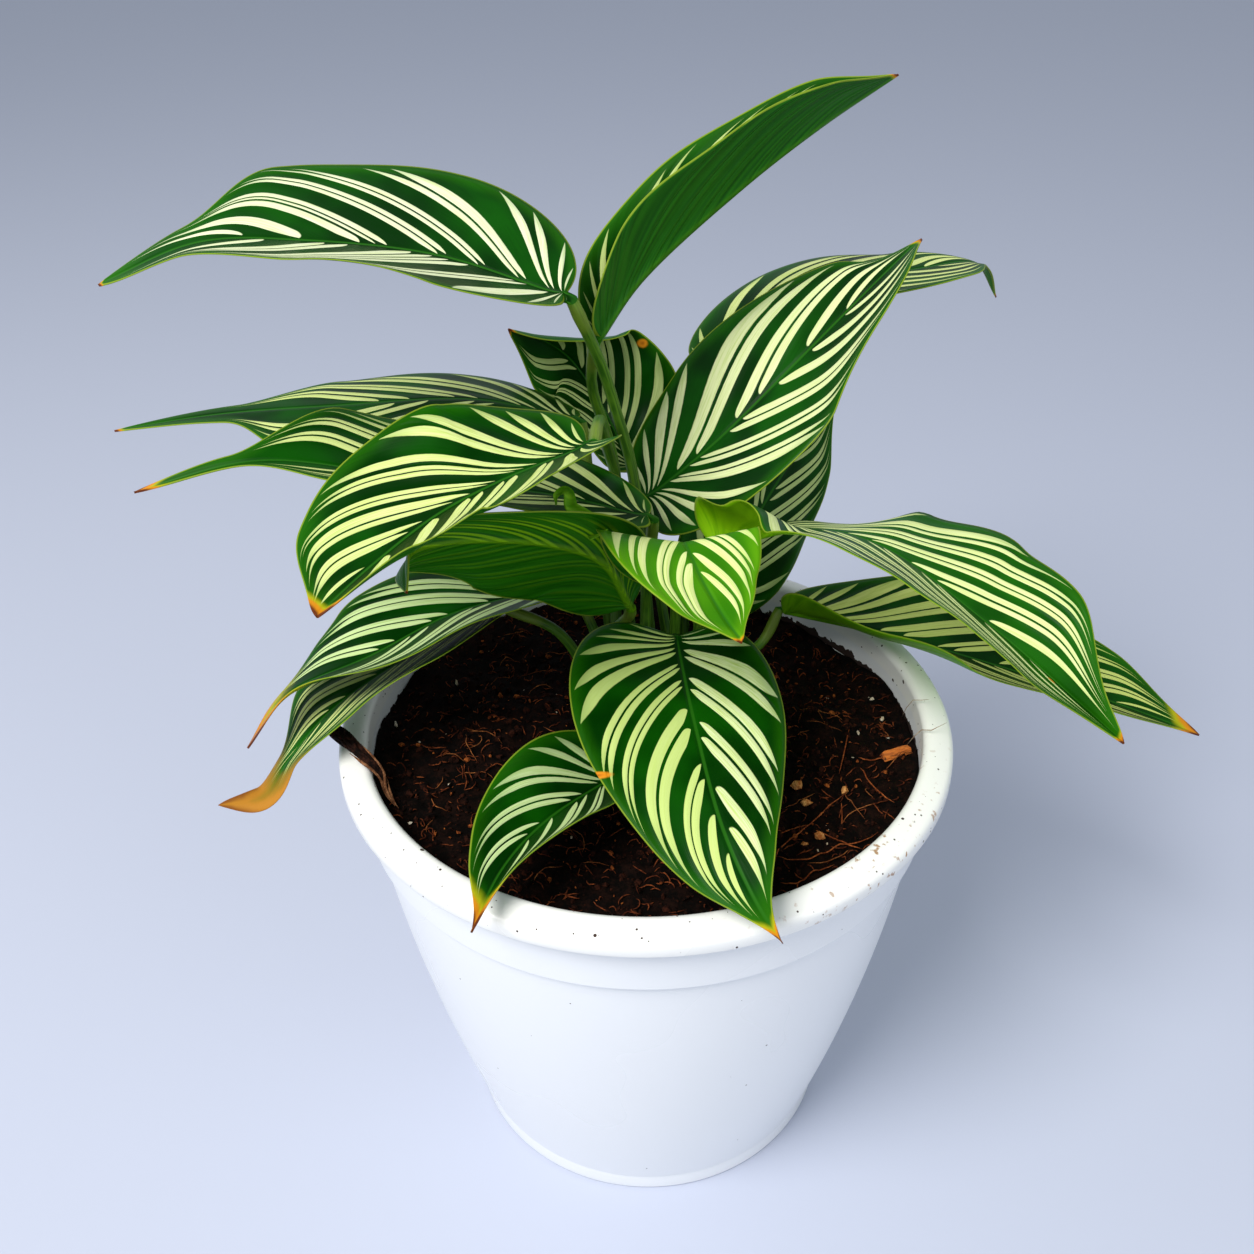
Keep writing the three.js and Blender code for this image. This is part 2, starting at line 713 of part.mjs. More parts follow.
add("pot", potGeometry(), finish.pot);
add("soil", soilGeometry(), finish.soil);
add("fibre_bundle", fibreGeometry(), finish.fibre);
add("bark_chip", barkGeometry(), finish.bark);

export default plant;
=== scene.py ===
import math

import bmesh
import bpy
import numpy as np
from mathutils import Matrix, Vector, noise


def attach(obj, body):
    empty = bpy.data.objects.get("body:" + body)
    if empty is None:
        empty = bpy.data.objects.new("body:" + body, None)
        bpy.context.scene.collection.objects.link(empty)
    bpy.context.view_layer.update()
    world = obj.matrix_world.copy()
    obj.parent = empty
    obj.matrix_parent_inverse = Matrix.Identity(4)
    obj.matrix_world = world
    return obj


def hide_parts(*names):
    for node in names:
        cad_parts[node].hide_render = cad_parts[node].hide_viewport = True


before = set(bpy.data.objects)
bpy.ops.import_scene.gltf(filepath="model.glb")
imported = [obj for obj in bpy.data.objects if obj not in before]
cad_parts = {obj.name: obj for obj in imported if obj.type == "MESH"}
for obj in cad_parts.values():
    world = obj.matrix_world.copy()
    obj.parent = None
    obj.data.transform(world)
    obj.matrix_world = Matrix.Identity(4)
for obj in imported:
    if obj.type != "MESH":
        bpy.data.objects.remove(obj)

scene = bpy.context.scene
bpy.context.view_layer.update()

# Camera
# A camera held above the front of the pot, tipped down by 34 degrees and turned by one degree
# about its own axis.

FOCAL_LENGTH = 36.057
SENSOR_WIDTH = 36
CAMERA_PLACE = Vector((0, -0.343658, 0.441443))
CAMERA_LOOKS_AT = Vector((-0.005586, 0, 0.208633))
CAMERA_ROLL = math.radians(-1.006)


def set_out(name, data):
    """New object with this mesh, lamp or lens, in the scene."""
    made = bpy.data.objects.new(name, data)
    scene.collection.objects.link(made)
    return made


lens = bpy.data.cameras.new("camera")
lens.lens = FOCAL_LENGTH
lens.sensor_width = SENSOR_WIDTH
lens.clip_start = 0.02
lens.clip_end = 60
camera = set_out("camera", lens)
facing = (CAMERA_LOOKS_AT - CAMERA_PLACE).to_track_quat("-Z", "Y").to_matrix()
rolled = facing @ Matrix.Rotation(CAMERA_ROLL, 3, "Z")
camera.matrix_world = Matrix.Translation(CAMERA_PLACE) @ rolled.to_4x4()
scene.camera = camera
scene.view_settings.view_transform = "Standard"

# Room
# A wide pale floor under a soft sky, with one large lamp high at the left in front and a
# weaker one at the right, so that the leaves keep gentle highlights.


def put(tree, kind, inputs=None, **settings):
    """Adds a node; an input is given by its name or number, as a value or another node's output."""
    made = tree.nodes.new("ShaderNode" + kind)
    for name, value in settings.items():
        setattr(made, name, value)
    for socket, value in (inputs or {}).items():
        if isinstance(value, bpy.types.NodeSocket):
            tree.links.new(value, made.inputs[socket])
        else:
            made.inputs[socket].default_value = value
    return made


def screen(red, green, blue):
    """Colour as read on a screen, 0 to 255, turned into light."""
    channels = []
    for value in (red, green, blue):
        share = value / 255
        channels.append(share / 12.92 if share <= 0.04045 else ((share + 0.055) / 1.055) ** 2.4)
    return (*channels, 1)


def finish(name):
    """New material with its shader, whose colour and gloss the caller sets."""
    made = bpy.data.materials.new(name)
    made.use_nodes = True
    return made, made.node_tree, made.node_tree.nodes["Principled BSDF"]


FLOOR_SIZE = 12
floor_mesh = bpy.data.meshes.new("floor")
edge = FLOOR_SIZE / 2
floor_corners = [(-edge, -edge, 0), (edge, -edge, 0), (edge, edge, 0), (-edge, edge, 0)]
floor_mesh.from_pydata(floor_corners, [], [(0, 1, 2, 3)])
floor = set_out("floor", floor_mesh)
paper, tree, shader = finish("pale floor")
shader.inputs["Base Color"].default_value = screen(194, 200, 217)
shader.inputs["Roughness"].default_value = 0.9
floor_mesh.materials.append(paper)

sky = bpy.data.worlds.new("sky")
sky.use_nodes = True
glow = sky.node_tree.nodes["Background"].inputs
glow["Color"].default_value = (0.86, 0.92, 1.0, 1)
glow["Strength"].default_value = 0.5
scene.world = sky


def lamp(name, place, looks_at, size, watts, colour):
    """Round soft lamp that faces a place."""
    data = bpy.data.lights.new(name, "AREA")
    data.shape = "DISK"
    data.size = size
    data.energy = watts
    data.color = colour
    made = set_out(name, data)
    made.location = place
    made.rotation_euler = (Vector(looks_at) - Vector(place)).to_track_quat("-Z", "Y").to_euler()


lamp("softbox", (-0.7, -0.8, 1.5), (0, 0, 0.2), 0.9, 30, (1, 0.98, 0.95))
lamp("fill", (1.2, -0.9, 1.0), (0, 0, 0.2), 1.1, 4, (0.92, 0.96, 1))

# Pot
# One shell of glossy white plastic, moulded in one shot: a foot band, a convex body, a collar
# and a wide rolled rim that overhangs it. Dirt specks and smears of peat lie on the rim.

MM = 0.001


def turned_mesh(name, profile, sides):
    """Closed mesh turned about the pot's axis from (radius, height) points in millimetres."""
    mesh = bpy.data.meshes.new(name)
    build = bmesh.new()
    rings = []
    for radius, height in profile:
        if radius == 0:
            rings.append([build.verts.new((0, 0, height * MM))])
            continue
        ring = []
        for i in range(sides):
            angle = 2 * math.pi * i / sides
            spot = (radius * math.cos(angle) * MM, radius * math.sin(angle) * MM, height * MM)
            ring.append(build.verts.new(spot))
        rings.append(ring)
    for low, high in zip(rings, rings[1:]):
        for i in range(sides):
            j = (i + 1) % sides
            corners = [low[i % len(low)], low[j % len(low)], high[j % len(high)], high[i % len(high)]]
            build.faces.new(list(dict.fromkeys(corners)))
    bmesh.ops.recalc_face_normals(build, faces=build.faces)
    build.to_mesh(mesh)
    build.free()
    return mesh


def arc(centre, radius, start, end, steps):
    """Points on a rounding of the profile, its angles in degrees from straight outwards."""
    points = []
    for i in range(steps + 1):
        angle = math.radians(start + (end - start) * i / steps)
        points.append((centre[0] + radius * math.cos(angle), centre[1] + radius * math.sin(angle)))
    return points


POT_HEIGHT = 175
FOOT_RADIUS = 70
FOOT_HEIGHT = 8.6
FOOT_STEP = 0.6
SHOULDER_HEIGHT = 145.7
SHOULDER_RADIUS = 96.2
BODY_BULGE = 2.9
WALL_THICKNESS = 2.2
FLOOR_THICKNESS = 3
COLLAR_RADIUS = 98.4
RIM_INNER_RADIUS = 94.5
RIM_OUTER_RADIUS = 105
RIM_DEPTH = 8
RIM_LIP_THICKNESS = 2.4
RIM_RECESS = 3
FOOT_EDGE = 1.4
COLLAR_EDGE = 0.8
LIP_EDGE = 1.1
RIM_OUTER_ROLL = 3
RIM_INNER_ROLL = 2.6
POT_SIDES = 160


def body_radius(height):
    share = (height - FOOT_HEIGHT) / (SHOULDER_HEIGHT - FOOT_HEIGHT)
    foot = FOOT_RADIUS + FOOT_STEP
    return foot + (SHOULDER_RADIUS - foot) * share + 4 * BODY_BULGE * share * (1 - share)


rim_bottom = POT_HEIGHT - RIM_DEPTH
lip = RIM_OUTER_RADIUS - RIM_LIP_THICKNESS
body_heights = np.linspace(FOOT_HEIGHT + 1, SHOULDER_HEIGHT - 0.6, 28)
pot_profile = [
    (0, 0.5),
    (FOOT_RADIUS - 6, 0.5),
    (FOOT_RADIUS - 5, 0),
    *arc((FOOT_RADIUS - FOOT_EDGE, FOOT_EDGE), FOOT_EDGE, -90, 0, 4),
    (FOOT_RADIUS, FOOT_HEIGHT - FOOT_STEP),
    (FOOT_RADIUS - 0.2, FOOT_HEIGHT - 0.3),
    (FOOT_RADIUS + FOOT_STEP, FOOT_HEIGHT),
    *[(body_radius(height), height) for height in body_heights],
    (SHOULDER_RADIUS - 0.1, SHOULDER_HEIGHT - 0.2),
    (SHOULDER_RADIUS + 0.9, SHOULDER_HEIGHT + 0.3),
    *arc((COLLAR_RADIUS - COLLAR_EDGE, SHOULDER_HEIGHT + 1.2), COLLAR_EDGE, -60, 0, 3),
    (COLLAR_RADIUS, rim_bottom + RIM_RECESS - 0.8),
    (COLLAR_RADIUS + 0.8, rim_bottom + RIM_RECESS),
    (lip, rim_bottom + RIM_RECESS),
    (lip, rim_bottom + 0.5),
    *arc((RIM_OUTER_RADIUS - 1.4, rim_bottom + LIP_EDGE), LIP_EDGE, -150, -10, 5),
    *arc((RIM_OUTER_RADIUS - 3.4, POT_HEIGHT - 4.4), RIM_OUTER_ROLL, 0, 72, 7),
    (RIM_INNER_RADIUS + 5, POT_HEIGHT - 0.4),
    *arc((RIM_INNER_RADIUS + RIM_INNER_ROLL, POT_HEIGHT - 2.8), RIM_INNER_ROLL, 85, 180, 7),
    (RIM_INNER_RADIUS, SHOULDER_HEIGHT + 10),
    *[(body_radius(height) - WALL_THICKNESS, height) for height in body_heights[::-1]],
    (FOOT_RADIUS - WALL_THICKNESS, FLOOR_THICKNESS),
    (0, FLOOR_THICKNESS),
]
pot = set_out("pot_shell", turned_mesh("pot_shell", pot_profile, POT_SIDES))

DRAIN_HOLES = 6
DRAIN_HOLE_RADIUS = 4
DRAIN_CIRCLE_RADIUS = 45
DRAIN_PIN_LENGTH = 12
pins = bmesh.new()
for i in range(DRAIN_HOLES):
    angle = 2 * math.pi * i / DRAIN_HOLES
    spot = Vector((math.cos(angle), math.sin(angle), 0)) * DRAIN_CIRCLE_RADIUS * MM
    bmesh.ops.create_cone(
        pins,
        cap_ends=True,
        segments=32,
        radius1=DRAIN_HOLE_RADIUS * MM,
        radius2=DRAIN_HOLE_RADIUS * MM,
        depth=DRAIN_PIN_LENGTH * MM,
        matrix=Matrix.Translation(spot),
    )
pin_mesh = bpy.data.meshes.new("drain_pins")
pins.to_mesh(pin_mesh)
pins.free()
pin_object = set_out("drain_pins", pin_mesh)
cut = pot.modifiers.new("drain holes", "BOOLEAN")
cut.operation = "DIFFERENCE"
cut.solver = "EXACT"
cut.object = pin_object
shaped = pot.evaluated_get(bpy.context.evaluated_depsgraph_get())
pot.data = bpy.data.meshes.new_from_object(shaped)
pot.modifiers.clear()
bpy.data.objects.remove(pin_object)
pot.data.shade_smooth()
pot.data.set_sharp_from_angle(angle=math.radians(32))


def calc(tree, operation, *terms, clamp=False):
    made = put(tree, "Math", dict(enumerate(terms)), operation=operation, use_clamp=clamp)
    return made.outputs[0]


def plus(tree, first, second):
    return calc(tree, "ADD", first, second)


def minus(tree, first, second):
    return calc(tree, "SUBTRACT", first, second)


def times(tree, first, second):
    return calc(tree, "MULTIPLY", first, second)


def distance(tree, first, second):
    """Length of two steps taken at a right angle."""
    squares = plus(tree, calc(tree, "POWER", first, 2), calc(tree, "POWER", second, 2))
    return calc(tree, "SQRT", squares)


def rise(tree, value, start, end):
    """Smooth step from 0 to 1 as the value goes from start to end."""
    inputs = {"Value": value, "From Min": start, "From Max": end}
    return put(tree, "MapRange", inputs, interpolation_type="SMOOTHSTEP").outputs[0]


def fall(tree, value, start, end):
    """Smooth step from 1 to 0 as the value goes from start to end."""
    return minus(tree, 1, rise(tree, value, start, end))


def tint(tree, share, low, high):
    """Colour between low and high."""
    return put(tree, "Mix", {0: share, 6: low, 7: high}, data_type="RGBA").outputs[2]


def grain(tree, where, scale, detail=2.0):
    inputs = {"Vector": where, "Scale": scale, "Detail": detail}
    return put(tree, "TexNoise", inputs).outputs["Fac"]


def dress(tree, shader, colour, dull, relief, depth, strength):
    """Ties colour, dullness and a fine relief, which is depth metres high, to the shader."""
    tree.links.new(colour, shader.inputs["Base Color"])
    tree.links.new(dull, shader.inputs["Roughness"])
    bump = put(tree, "Bump", {"Height": relief, "Distance": depth, "Strength": strength})
    tree.links.new(bump.outputs[0], shader.inputs["Normal"])


SMEAR_PLACE = (0.075, -0.07, 0.174)
SMEAR_REACH = 0.075
STUCK_PEAT_FROM = 0.157
STUCK_PEAT_TO = 0.167
plastic, tree, shader = finish("white plastic")
where = put(tree, "TexCoord").outputs["Object"]
x, y, z = put(tree, "SeparateXYZ", {0: where}).outputs
on_rim = rise(tree, z, (rim_bottom - 1.5) * MM, (rim_bottom + 0.5) * MM)
cloudy = grain(tree, where, 9)
# Painted reflection: the rim is painted a warmer white and the body a cooler, slightly darker bluish white,
# for the bluish room that the body reflects
white_with_painted_reflection = tint(tree, on_rim, screen(243, 245, 246), screen(249, 249, 244))
white_with_painted_reflection = tint(tree, times(tree, cloudy, 0.10), white_with_painted_reflection, screen(214, 216, 214))
# Specks of peat: small round dots of two sizes, thickest on the rim
dot = 0.0
for scale, widest, on_the_rim in ((150, 0.15, 0.55), (430, 0.2, 0.5)):
    cell = put(tree, "TexVoronoi", {"Vector": where, "Scale": scale})
    reach = times(tree, cell.outputs["Color"], widest)
    speck = calc(tree, "LESS_THAN", cell.outputs["Distance"], reach)
    chance = put(tree, "TexWhiteNoise", {"Vector": cell.outputs["Position"]}).outputs[0]
    likely = plus(tree, times(tree, on_rim, on_the_rim), 0.015)
    speck = times(tree, speck, calc(tree, "LESS_THAN", chance, likely))
    dot = calc(tree, "MAXIMUM", speck, dot)
# Brown smears at the right of the rim
away = put(tree, "VectorMath", {0: where, 1: SMEAR_PLACE}, operation="DISTANCE").outputs[1]
smear = fall(tree, away, 0.0, SMEAR_REACH)
blot = rise(tree, grain(tree, where, 340, 4), 0.61, 0.7)
smear = times(tree, times(tree, smear, blot), on_rim)
# Peat stuck to the inner wall just above the soil
inside = calc(tree, "LESS_THAN", distance(tree, x, y), (RIM_INNER_RADIUS + 0.4) * MM)
inside = times(tree, inside, calc(tree, "GREATER_THAN", z, STUCK_PEAT_FROM + 0.001))
stuck = plus(tree, fall(tree, z, STUCK_PEAT_FROM, STUCK_PEAT_TO), grain(tree, where, 260, 4))
stuck = times(tree, calc(tree, "GREATER_THAN", stuck, 1.12), inside)
colour = tint(tree, smear, white_with_painted_reflection, screen(176, 138, 104))
colour = tint(tree, dot, colour, screen(58, 36, 26))
colour = tint(tree, stuck, colour, screen(44, 26, 18))
dull = plus(tree, times(tree, cloudy, 0.12), 0.22)
dirt = times(tree, calc(tree, "MAXIMUM", dot, stuck), 0.5)
dull = calc(tree, "ADD", dull, dirt, clamp=True)
dress(tree, shader, colour, dull, grain(tree, where, 420, 1), 0.00004, 0.5)
shader.inputs["IOR"].default_value = 1.5
pot.data.materials.clear()
pot.data.materials.append(plastic)
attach(pot, "root")
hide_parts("pot")

# Soil
# Dark peat mixed with coconut fibre, heaped loosely to about 13 mm below the rim and lower at
# the back right. Crumbs, fine fibres and bits of grit lie on it.

SOIL_HEIGHT = 162
SOIL_GAP = 0.5
SOIL_LUMP = 1.4
SOIL_LUMP_LENGTH = 9
SOIL_HOLLOW = 5
SOIL_HOLLOW_PLACE = (62, 48)
SOIL_HOLLOW_REACH = 31
CRUMB_HEIGHT = 1.5
CRUMB_LENGTH = 5.5
SOIL_RINGS = 105
SOIL_SIDES = 230


def soil_top(x, y):
    """Height of the smooth soil in millimetres, as in the frame."""
    u = x / SOIL_LUMP_LENGTH
    v = y / SOIL_LUMP_LENGTH
    lumps = math.sin(u + 1) * math.cos(0.8 * v) + 0.6 * math.sin(0.7 * u + 1.4 * v + 2)
    away = math.hypot(x - SOIL_HOLLOW_PLACE[0], y - SOIL_HOLLOW_PLACE[1])
    return SOIL_HEIGHT + SOIL_LUMP * lumps - SOIL_HOLLOW * math.exp(-((away / SOIL_HOLLOW_REACH) ** 2))


def crumbled_top(x, y):
    """Height with the crumbs that the frame leaves out."""
    rough = noise.fractal(Vector((x / CRUMB_LENGTH, y / CRUMB_LENGTH, 0.3)), 1.0, 2.1, 4)
    return soil_top(x, y) + CRUMB_HEIGHT * rough


soil_edge = RIM_INNER_RADIUS - SOIL_GAP
soil_foot = FLOOR_THICKNESS + SOIL_GAP
soil_profile = [(0, soil_foot), (FOOT_RADIUS - WALL_THICKNESS - 0.6, soil_foot)]
for height in np.linspace(FOOT_HEIGHT + 1, SHOULDER_HEIGHT + 10, 8):
    soil_profile.append((min(body_radius(height) - WALL_THICKNESS, RIM_INNER_RADIUS) - SOIL_GAP, height))
soil_profile += [(soil_edge * (1 - i / SOIL_RINGS), SOIL_HEIGHT) for i in range(SOIL_RINGS)]
soil_profile.append((0, SOIL_HEIGHT))
soil = set_out("soil_body", turned_mesh("soil_body", soil_profile, SOIL_SIDES))
for vertex in soil.data.vertices:
    if vertex.co.z > (SOIL_HEIGHT - 0.01) * MM:
        vertex.co.z = crumbled_top(vertex.co.x / MM, vertex.co.y / MM) * MM
soil.data.shade_smooth()


def peat_finish(name, dark, light, scale):
    """Matt, crumbly finish mottled in two colours, with fine lumps and hollows."""
    made, tree, shader = finish(name)
    where = put(tree, "TexCoord").outputs["Object"]
    mottle = grain(tree, where, scale, 5)
    fine = grain(tree, where, scale * 5, 3)
    mix = plus(tree, times(tree, mottle, 0.6), times(tree, fine, 0.4))
    colour = tint(tree, rise(tree, mix, 0.42, 0.66), dark, light)
    dull = plus(tree, times(tree, fine, 0.2), 0.8)
    dress(tree, shader, colour, dull, mix, 0.0009, 0.9)
    shader.inputs["Specular IOR Level"].default_value = 0.08
    return made


soil.data.materials.append(peat_finish("peat", screen(4, 2, 1), screen(27, 12, 7), 210))
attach(soil, "root")
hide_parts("soil")


def scattered(seed, count, furthest):
    """Seeded chance, and even random places on the soil in millimetres."""
    chance = np.random.default_rng(seed)
    angles = chance.uniform(0, 2 * math.pi, count)
    reaches = furthest * np.sqrt(chance.uniform(0, 1, count))
    return chance, np.stack([reaches * np.cos(angles), reaches * np.sin(angles)], 1)


def crumbs(name, coat, seed, count, sizes, furthest, sunk, chosen=None):
    """Small angular lumps, each a squashed and turned ball, at random or chosen places."""
    ball = bmesh.new()
    bmesh.ops.create_icosphere(ball, subdivisions=1, radius=1)
    corners = np.array([vertex.co for vertex in ball.verts])
    faces = np.array([[vertex.index for vertex in face.verts] for face in ball.faces])
    ball.free()
    chance, places = scattered(seed, count, furthest)
    points = []
    triangles = []
    for i, (x, y) in enumerate(places):
        size = sizes[0] + (sizes[1] - sizes[0]) * chance.random() ** 3
        if chosen:
            x, y, size = chosen[i]
        shape = corners * (1 + 0.28 * chance.standard_normal(corners.shape))
        shape *= size * np.array([1, chance.uniform(0.5, 1), chance.uniform(0.4, 0.9)])
        turn = np.array(Matrix.Rotation(chance.uniform(0, 6.3), 3, Vector(chance.standard_normal(3))))
        height = crumbled_top(x, y) + size * sunk
        points.append(shape @ turn.T + np.array([x, y, height]))
        triangles.append(faces + i * len(corners))
    mesh = bpy.data.meshes.new(name)
    mesh.from_pydata((np.concatenate(points) * MM).tolist(), [], np.concatenate(triangles).tolist())
    mesh.materials.append(coat)
    made = set_out(name, mesh)
    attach(made, "root")


damp = peat_finish("peat crumbs", screen(7, 3, 2), screen(56, 26, 15), 330)
crumbs("peat_crumbs", damp, 3, 3200, (0.4, 1.9), 92, 0.1)
husk = peat_finish("husk", screen(86, 38, 16), screen(176, 98, 44), 500)
crumbs("fibre_crumbs", husk, 8, 320, (0.3, 1.3), 90, 0.45)
stone = peat_finish("grit", screen(190, 170, 140), screen(240, 232, 214), 700)
crumbs("white_grit", stone, 5, 46, (0.25, 0.95), 88, 0.5)


# A direction that none of the threads runs along
OFF_THREAD = (0.31, 0.22, 0.92)


def threads(name, coat, routes, radii, sides=5):
    """One piece of thin round threads, each through its own points in millimetres."""
    points = []
    faces = []
    for route, radius in zip(routes, np.broadcast_to(radii, len(routes))):
        route = np.asarray(route, float)
        heading = np.gradient(route, axis=0)
        heading /= np.linalg.norm(heading, axis=1)[:, None]
        across = np.cross(heading, OFF_THREAD)
        across /= np.linalg.norm(across, axis=1)[:, None]
        up = np.cross(across, heading)
        start = len(points)
        share = np.linspace(0, 1, len(route))
        thick = radius * np.clip(np.minimum(share, 1 - share) * 5, 0.25, 1)
        for centre, a, b, r in zip(route, across, up, thick):
            for i in range(sides):
                angle = 2 * math.pi * i / sides
                points.append(centre + r * (a * math.cos(angle) + b * math.sin(angle)))
        for k in range(len(route) - 1):
            for i in range(sides):
                j = (i + 1) % sides
                low = start + k * sides
                faces.append((low + i, low + j, low + sides + j, low + sides + i))
        last = start + (len(route) - 1) * sides
        faces.append(tuple(start + i for i in range(sides))[::-1])
        faces.append(tuple(last + i for i in range(sides)))
    mesh = bpy.data.meshes.new(name)
    mesh.from_pydata((np.array(points) * MM).tolist(), [], faces)
    mesh.shade_smooth()
    mesh.materials.append(coat)
    made = set_out(name, mesh)
    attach(made, "root")
    return made


FIBRE_STEPS = 9
FIBRE_RADIUS = 0.2
PALE_FIBRE_RADIUS = 0.16


def curly_routes(seed, count, lengths, furthest, lift):
    """Routes of short bent fibres that lie on the crumbs, in millimetres."""
    chance, places = scattered(seed, count, furthest)
    routes = []
    for x, y in places:
        heading = chance.uniform(0, 2 * math.pi)
        length = chance.uniform(*lengths)
        bend = chance.uniform(-0.35, 0.35)
        hump = chance.uniform(0.1, lift)
        route = []
        for k in range(FIBRE_STEPS):
            if math.hypot(x, y) > soil_edge - 1:
                break
            high = hump * math.sin(math.pi * k / (FIBRE_STEPS - 1)) + 0.35
            route.append((x, y, crumbled_top(x, y) + high))
            x += math.cos(heading) * length / FIBRE_STEPS
            y += math.sin(heading) * length / FIBRE_STEPS
            heading += bend + chance.uniform(-0.3, 0.3)
        if len(route) > 3:
            routes.append(route)
    return routes


coir = peat_finish("coir", screen(62, 26, 14), screen(142, 74, 38), 300)
threads("soil_fibres", coir, curly_routes(21, 950, (1.8, 8), 90, 1.0), FIBRE_RADIUS)
pale_coir = peat_finish("pale coir", screen(104, 56, 28), screen(178, 112, 62), 300)
threads("pale_fibres", pale_coir, curly_routes(34, 60, (6, 20), 86, 2.0), PALE_FIBRE_RADIUS)

# Long roots that lie on the crumbs at the right, in millimetres
root_paths = [
    [(39.8, -63.4), (42.2, -56.6), (51.2, -46.4), (58.1, -38.8), (67, -29.5)],
    [(40, -61.1), (46.5, -62.1), (52.4, -61.5), (60.9, -55.4), (67.1, -53.3), (73.7, -50.2)],
    [(72.9, -17.2), (74.6, -23.6), (77.5, -31.4), (80.7, -38)],
    [(55.5, -47.6), (59.5, -51.2), (63.5, -54.4), (67.6, -56.4)],
    [(71.9, 2.2), (68.8, -8.9), (65.4, -20.3)],
    [(40.8, -51), (46.1, -47.5), (51.8, -45.4)],
    [(73, -12.6), (77.1, -13.9), (81.6, -12.7)],
    [(64, -35.9), (63.5, -41.8), (62.5, -47.6)],
    [(40.9, -70.7), (45.5, -72), (51.5, -68.8), (57.7, -65.6)],
]
ROOT_RADIUS = 0.22
ROOT_MARKS = 26
ROOT_LIFT = 0.75


def laid_down(path):
    """Smooth route through the places, on top of the crumbs."""
    rough = np.array([(x, y, 0) for x, y in path], float)
    marks = np.linspace(0, len(path) - 1, ROOT_MARKS)
    route = []
    for mark in marks:
        i = min(int(mark), len(path) - 2)
        before, start = rough[max(i - 1, 0)], rough[i]
        end, after = rough[i + 1], rough[min(i + 2, len(path) - 1)]
        u = mark - i
        square = 2 * before - 5 * start + 4 * end - after
        cube = -before + 3 * start - 3 * end + after
        x, y, _ = 0.5 * (2 * start + (end - before) * u + square * u**2 + cube * u**3)
        route.append((x, y, max(crumbled_top(x, y), soil_top(x, y)) + ROOT_LIFT))
    return route


root_brown = peat_finish("root", screen(104, 48, 22), screen(170, 94, 48), 260)
threads("long_roots", root_brown, [laid_down(path) for path in root_paths], ROOT_RADIUS, 7)

# Two pale hairs that stand out of the soil and bend over the rim
HAIR_RADII = [0.14, 0.17]
hair_routes = [
    [(90.5, 5, 166), (91.4, 4, 171), (92.9, 2.4, 175.5), (95.2, 0.6, 176.8), (97.4, -1.2, 178.5)],
    [(89.1, -10.2, 165), (91, -12, 171), (92.8, -13.9, 175.4), (95.6, -15.6, 176.6), (100.6, -14.6, 179)],
]
hair_tan = peat_finish("hair", screen(140, 118, 92), screen(196, 180, 158), 300)
threads("rim_hairs", hair_tan, hair_routes, HAIR_RADII)

# Single bits on the crumbs, each with its place across the pot and its size in millimetres
for name, kind, dark, light, bits in (
    ("tan_bits", "tan bit", screen(168, 98, 46), screen(226, 168, 100), [
        (50.1, -28.1, 2.3), (52.6, -35, 2), (66, -29, 1.5), (55.1, -51.1, 1.8), (49.7, -55.3, 1.4),
    ]),
    ("white_bits", "white bit", screen(206, 190, 162), screen(244, 236, 220), [
        (-88.6, 7, 1.3), (83.2, 22.2, 1.0), (-75.4, -46, 0.8), (-78, -30, 0.7),
    ]),
):
    crumbs(name, peat_finish(kind, dark, light, 460), 6, len(bits), (1, 1), 0, 0.6, bits)

# Leaves
# Each is one grown piece: a round green stalk with a swollen joint, and a thin blade whose
# upper face is dark green with cream stripes along its side veins. The underside is plain
# green. A blade is a sheet bent along its midrib, folded and curled on each side of it.

STEM_DEPTH = 22
STALK_UPRIGHT = 3
STALK_RADIUS_AT_SOIL = 2.1
STALK_RADIUS_AT_BLADE = 1.7
STALK_END = 2.5
LOBE_LENGTH = 0.12
TAIL_EASE = 0.2
HALF_BLADE_THICKNESS = 0.3
RIB_AT_BASE = 1.25
RIB_AT_TIP = 0.1
RIB_WIDTH = 1.3
TIP_HALF_WIDTH = 0.15
BLADE_ROWS = 140
FIRST_ROW = 0.0006
LAST_ROW = 0.9995
HALF_COLUMNS = 17
CURL_STEPS = 8
STALK_RINGS = 26
RING_SPAN = 0.985
MIDRIB_MARKS = 400
BASE_SWELL = 1.35
BASE_LENGTH = 2.2
JOINT_SWELL = 0.3
JOINT_PLACE = 7
JOINT_LENGTH = 5


CURVE_STEPS = 60


def curve_through(points, count):
    """Even points, directions and the length of a smooth curve through the points."""
    points = np.asarray(points, float)
    padded = np.vstack([2 * points[0] - points[1], points, 2 * points[-1] - points[-2]])
    share = np.linspace(0, 1, CURVE_STEPS, endpoint=False)[:, None]
    pieces = []
    for i in range(1, len(padded) - 2):
        before, start, end, after = padded[i - 1:i + 3]
        gap0, gap1, gap2 = (
            np.linalg.norm(b - a) ** 0.5 for a, b in ((before, start), (start, end), (end, after))
        )
        out = ((start - before) / gap0 - (end - before) / (gap0 + gap1) + (end - start) / gap1) * gap1
        into = ((end - start) / gap1 - (after - start) / (gap1 + gap2) + (after - end) / gap2) * gap1
        square = 3 * (end - start) - 2 * out - into
        cube = -2 * (end - start) + out + into
        pieces.append(start + out * share + square * share**2 + cube * share**3)
    line = np.vstack([*pieces, points[-1]])
    walked = np.concatenate([[0], np.cumsum(np.linalg.norm(np.diff(line, axis=0), axis=1))])
    even = np.linspace(0, walked[-1], count)
    spots = np.stack([np.interp(even, walked, line[:, k]) for k in range(3)], 1)
    headings = np.gradient(spots, axis=0)
    return spots, headings / np.linalg.norm(headings, axis=1)[:, None], walked[-1]


def smooth(u):
    v = np.clip(u, 0, 1)
    return v * v * (3 - 2 * v)


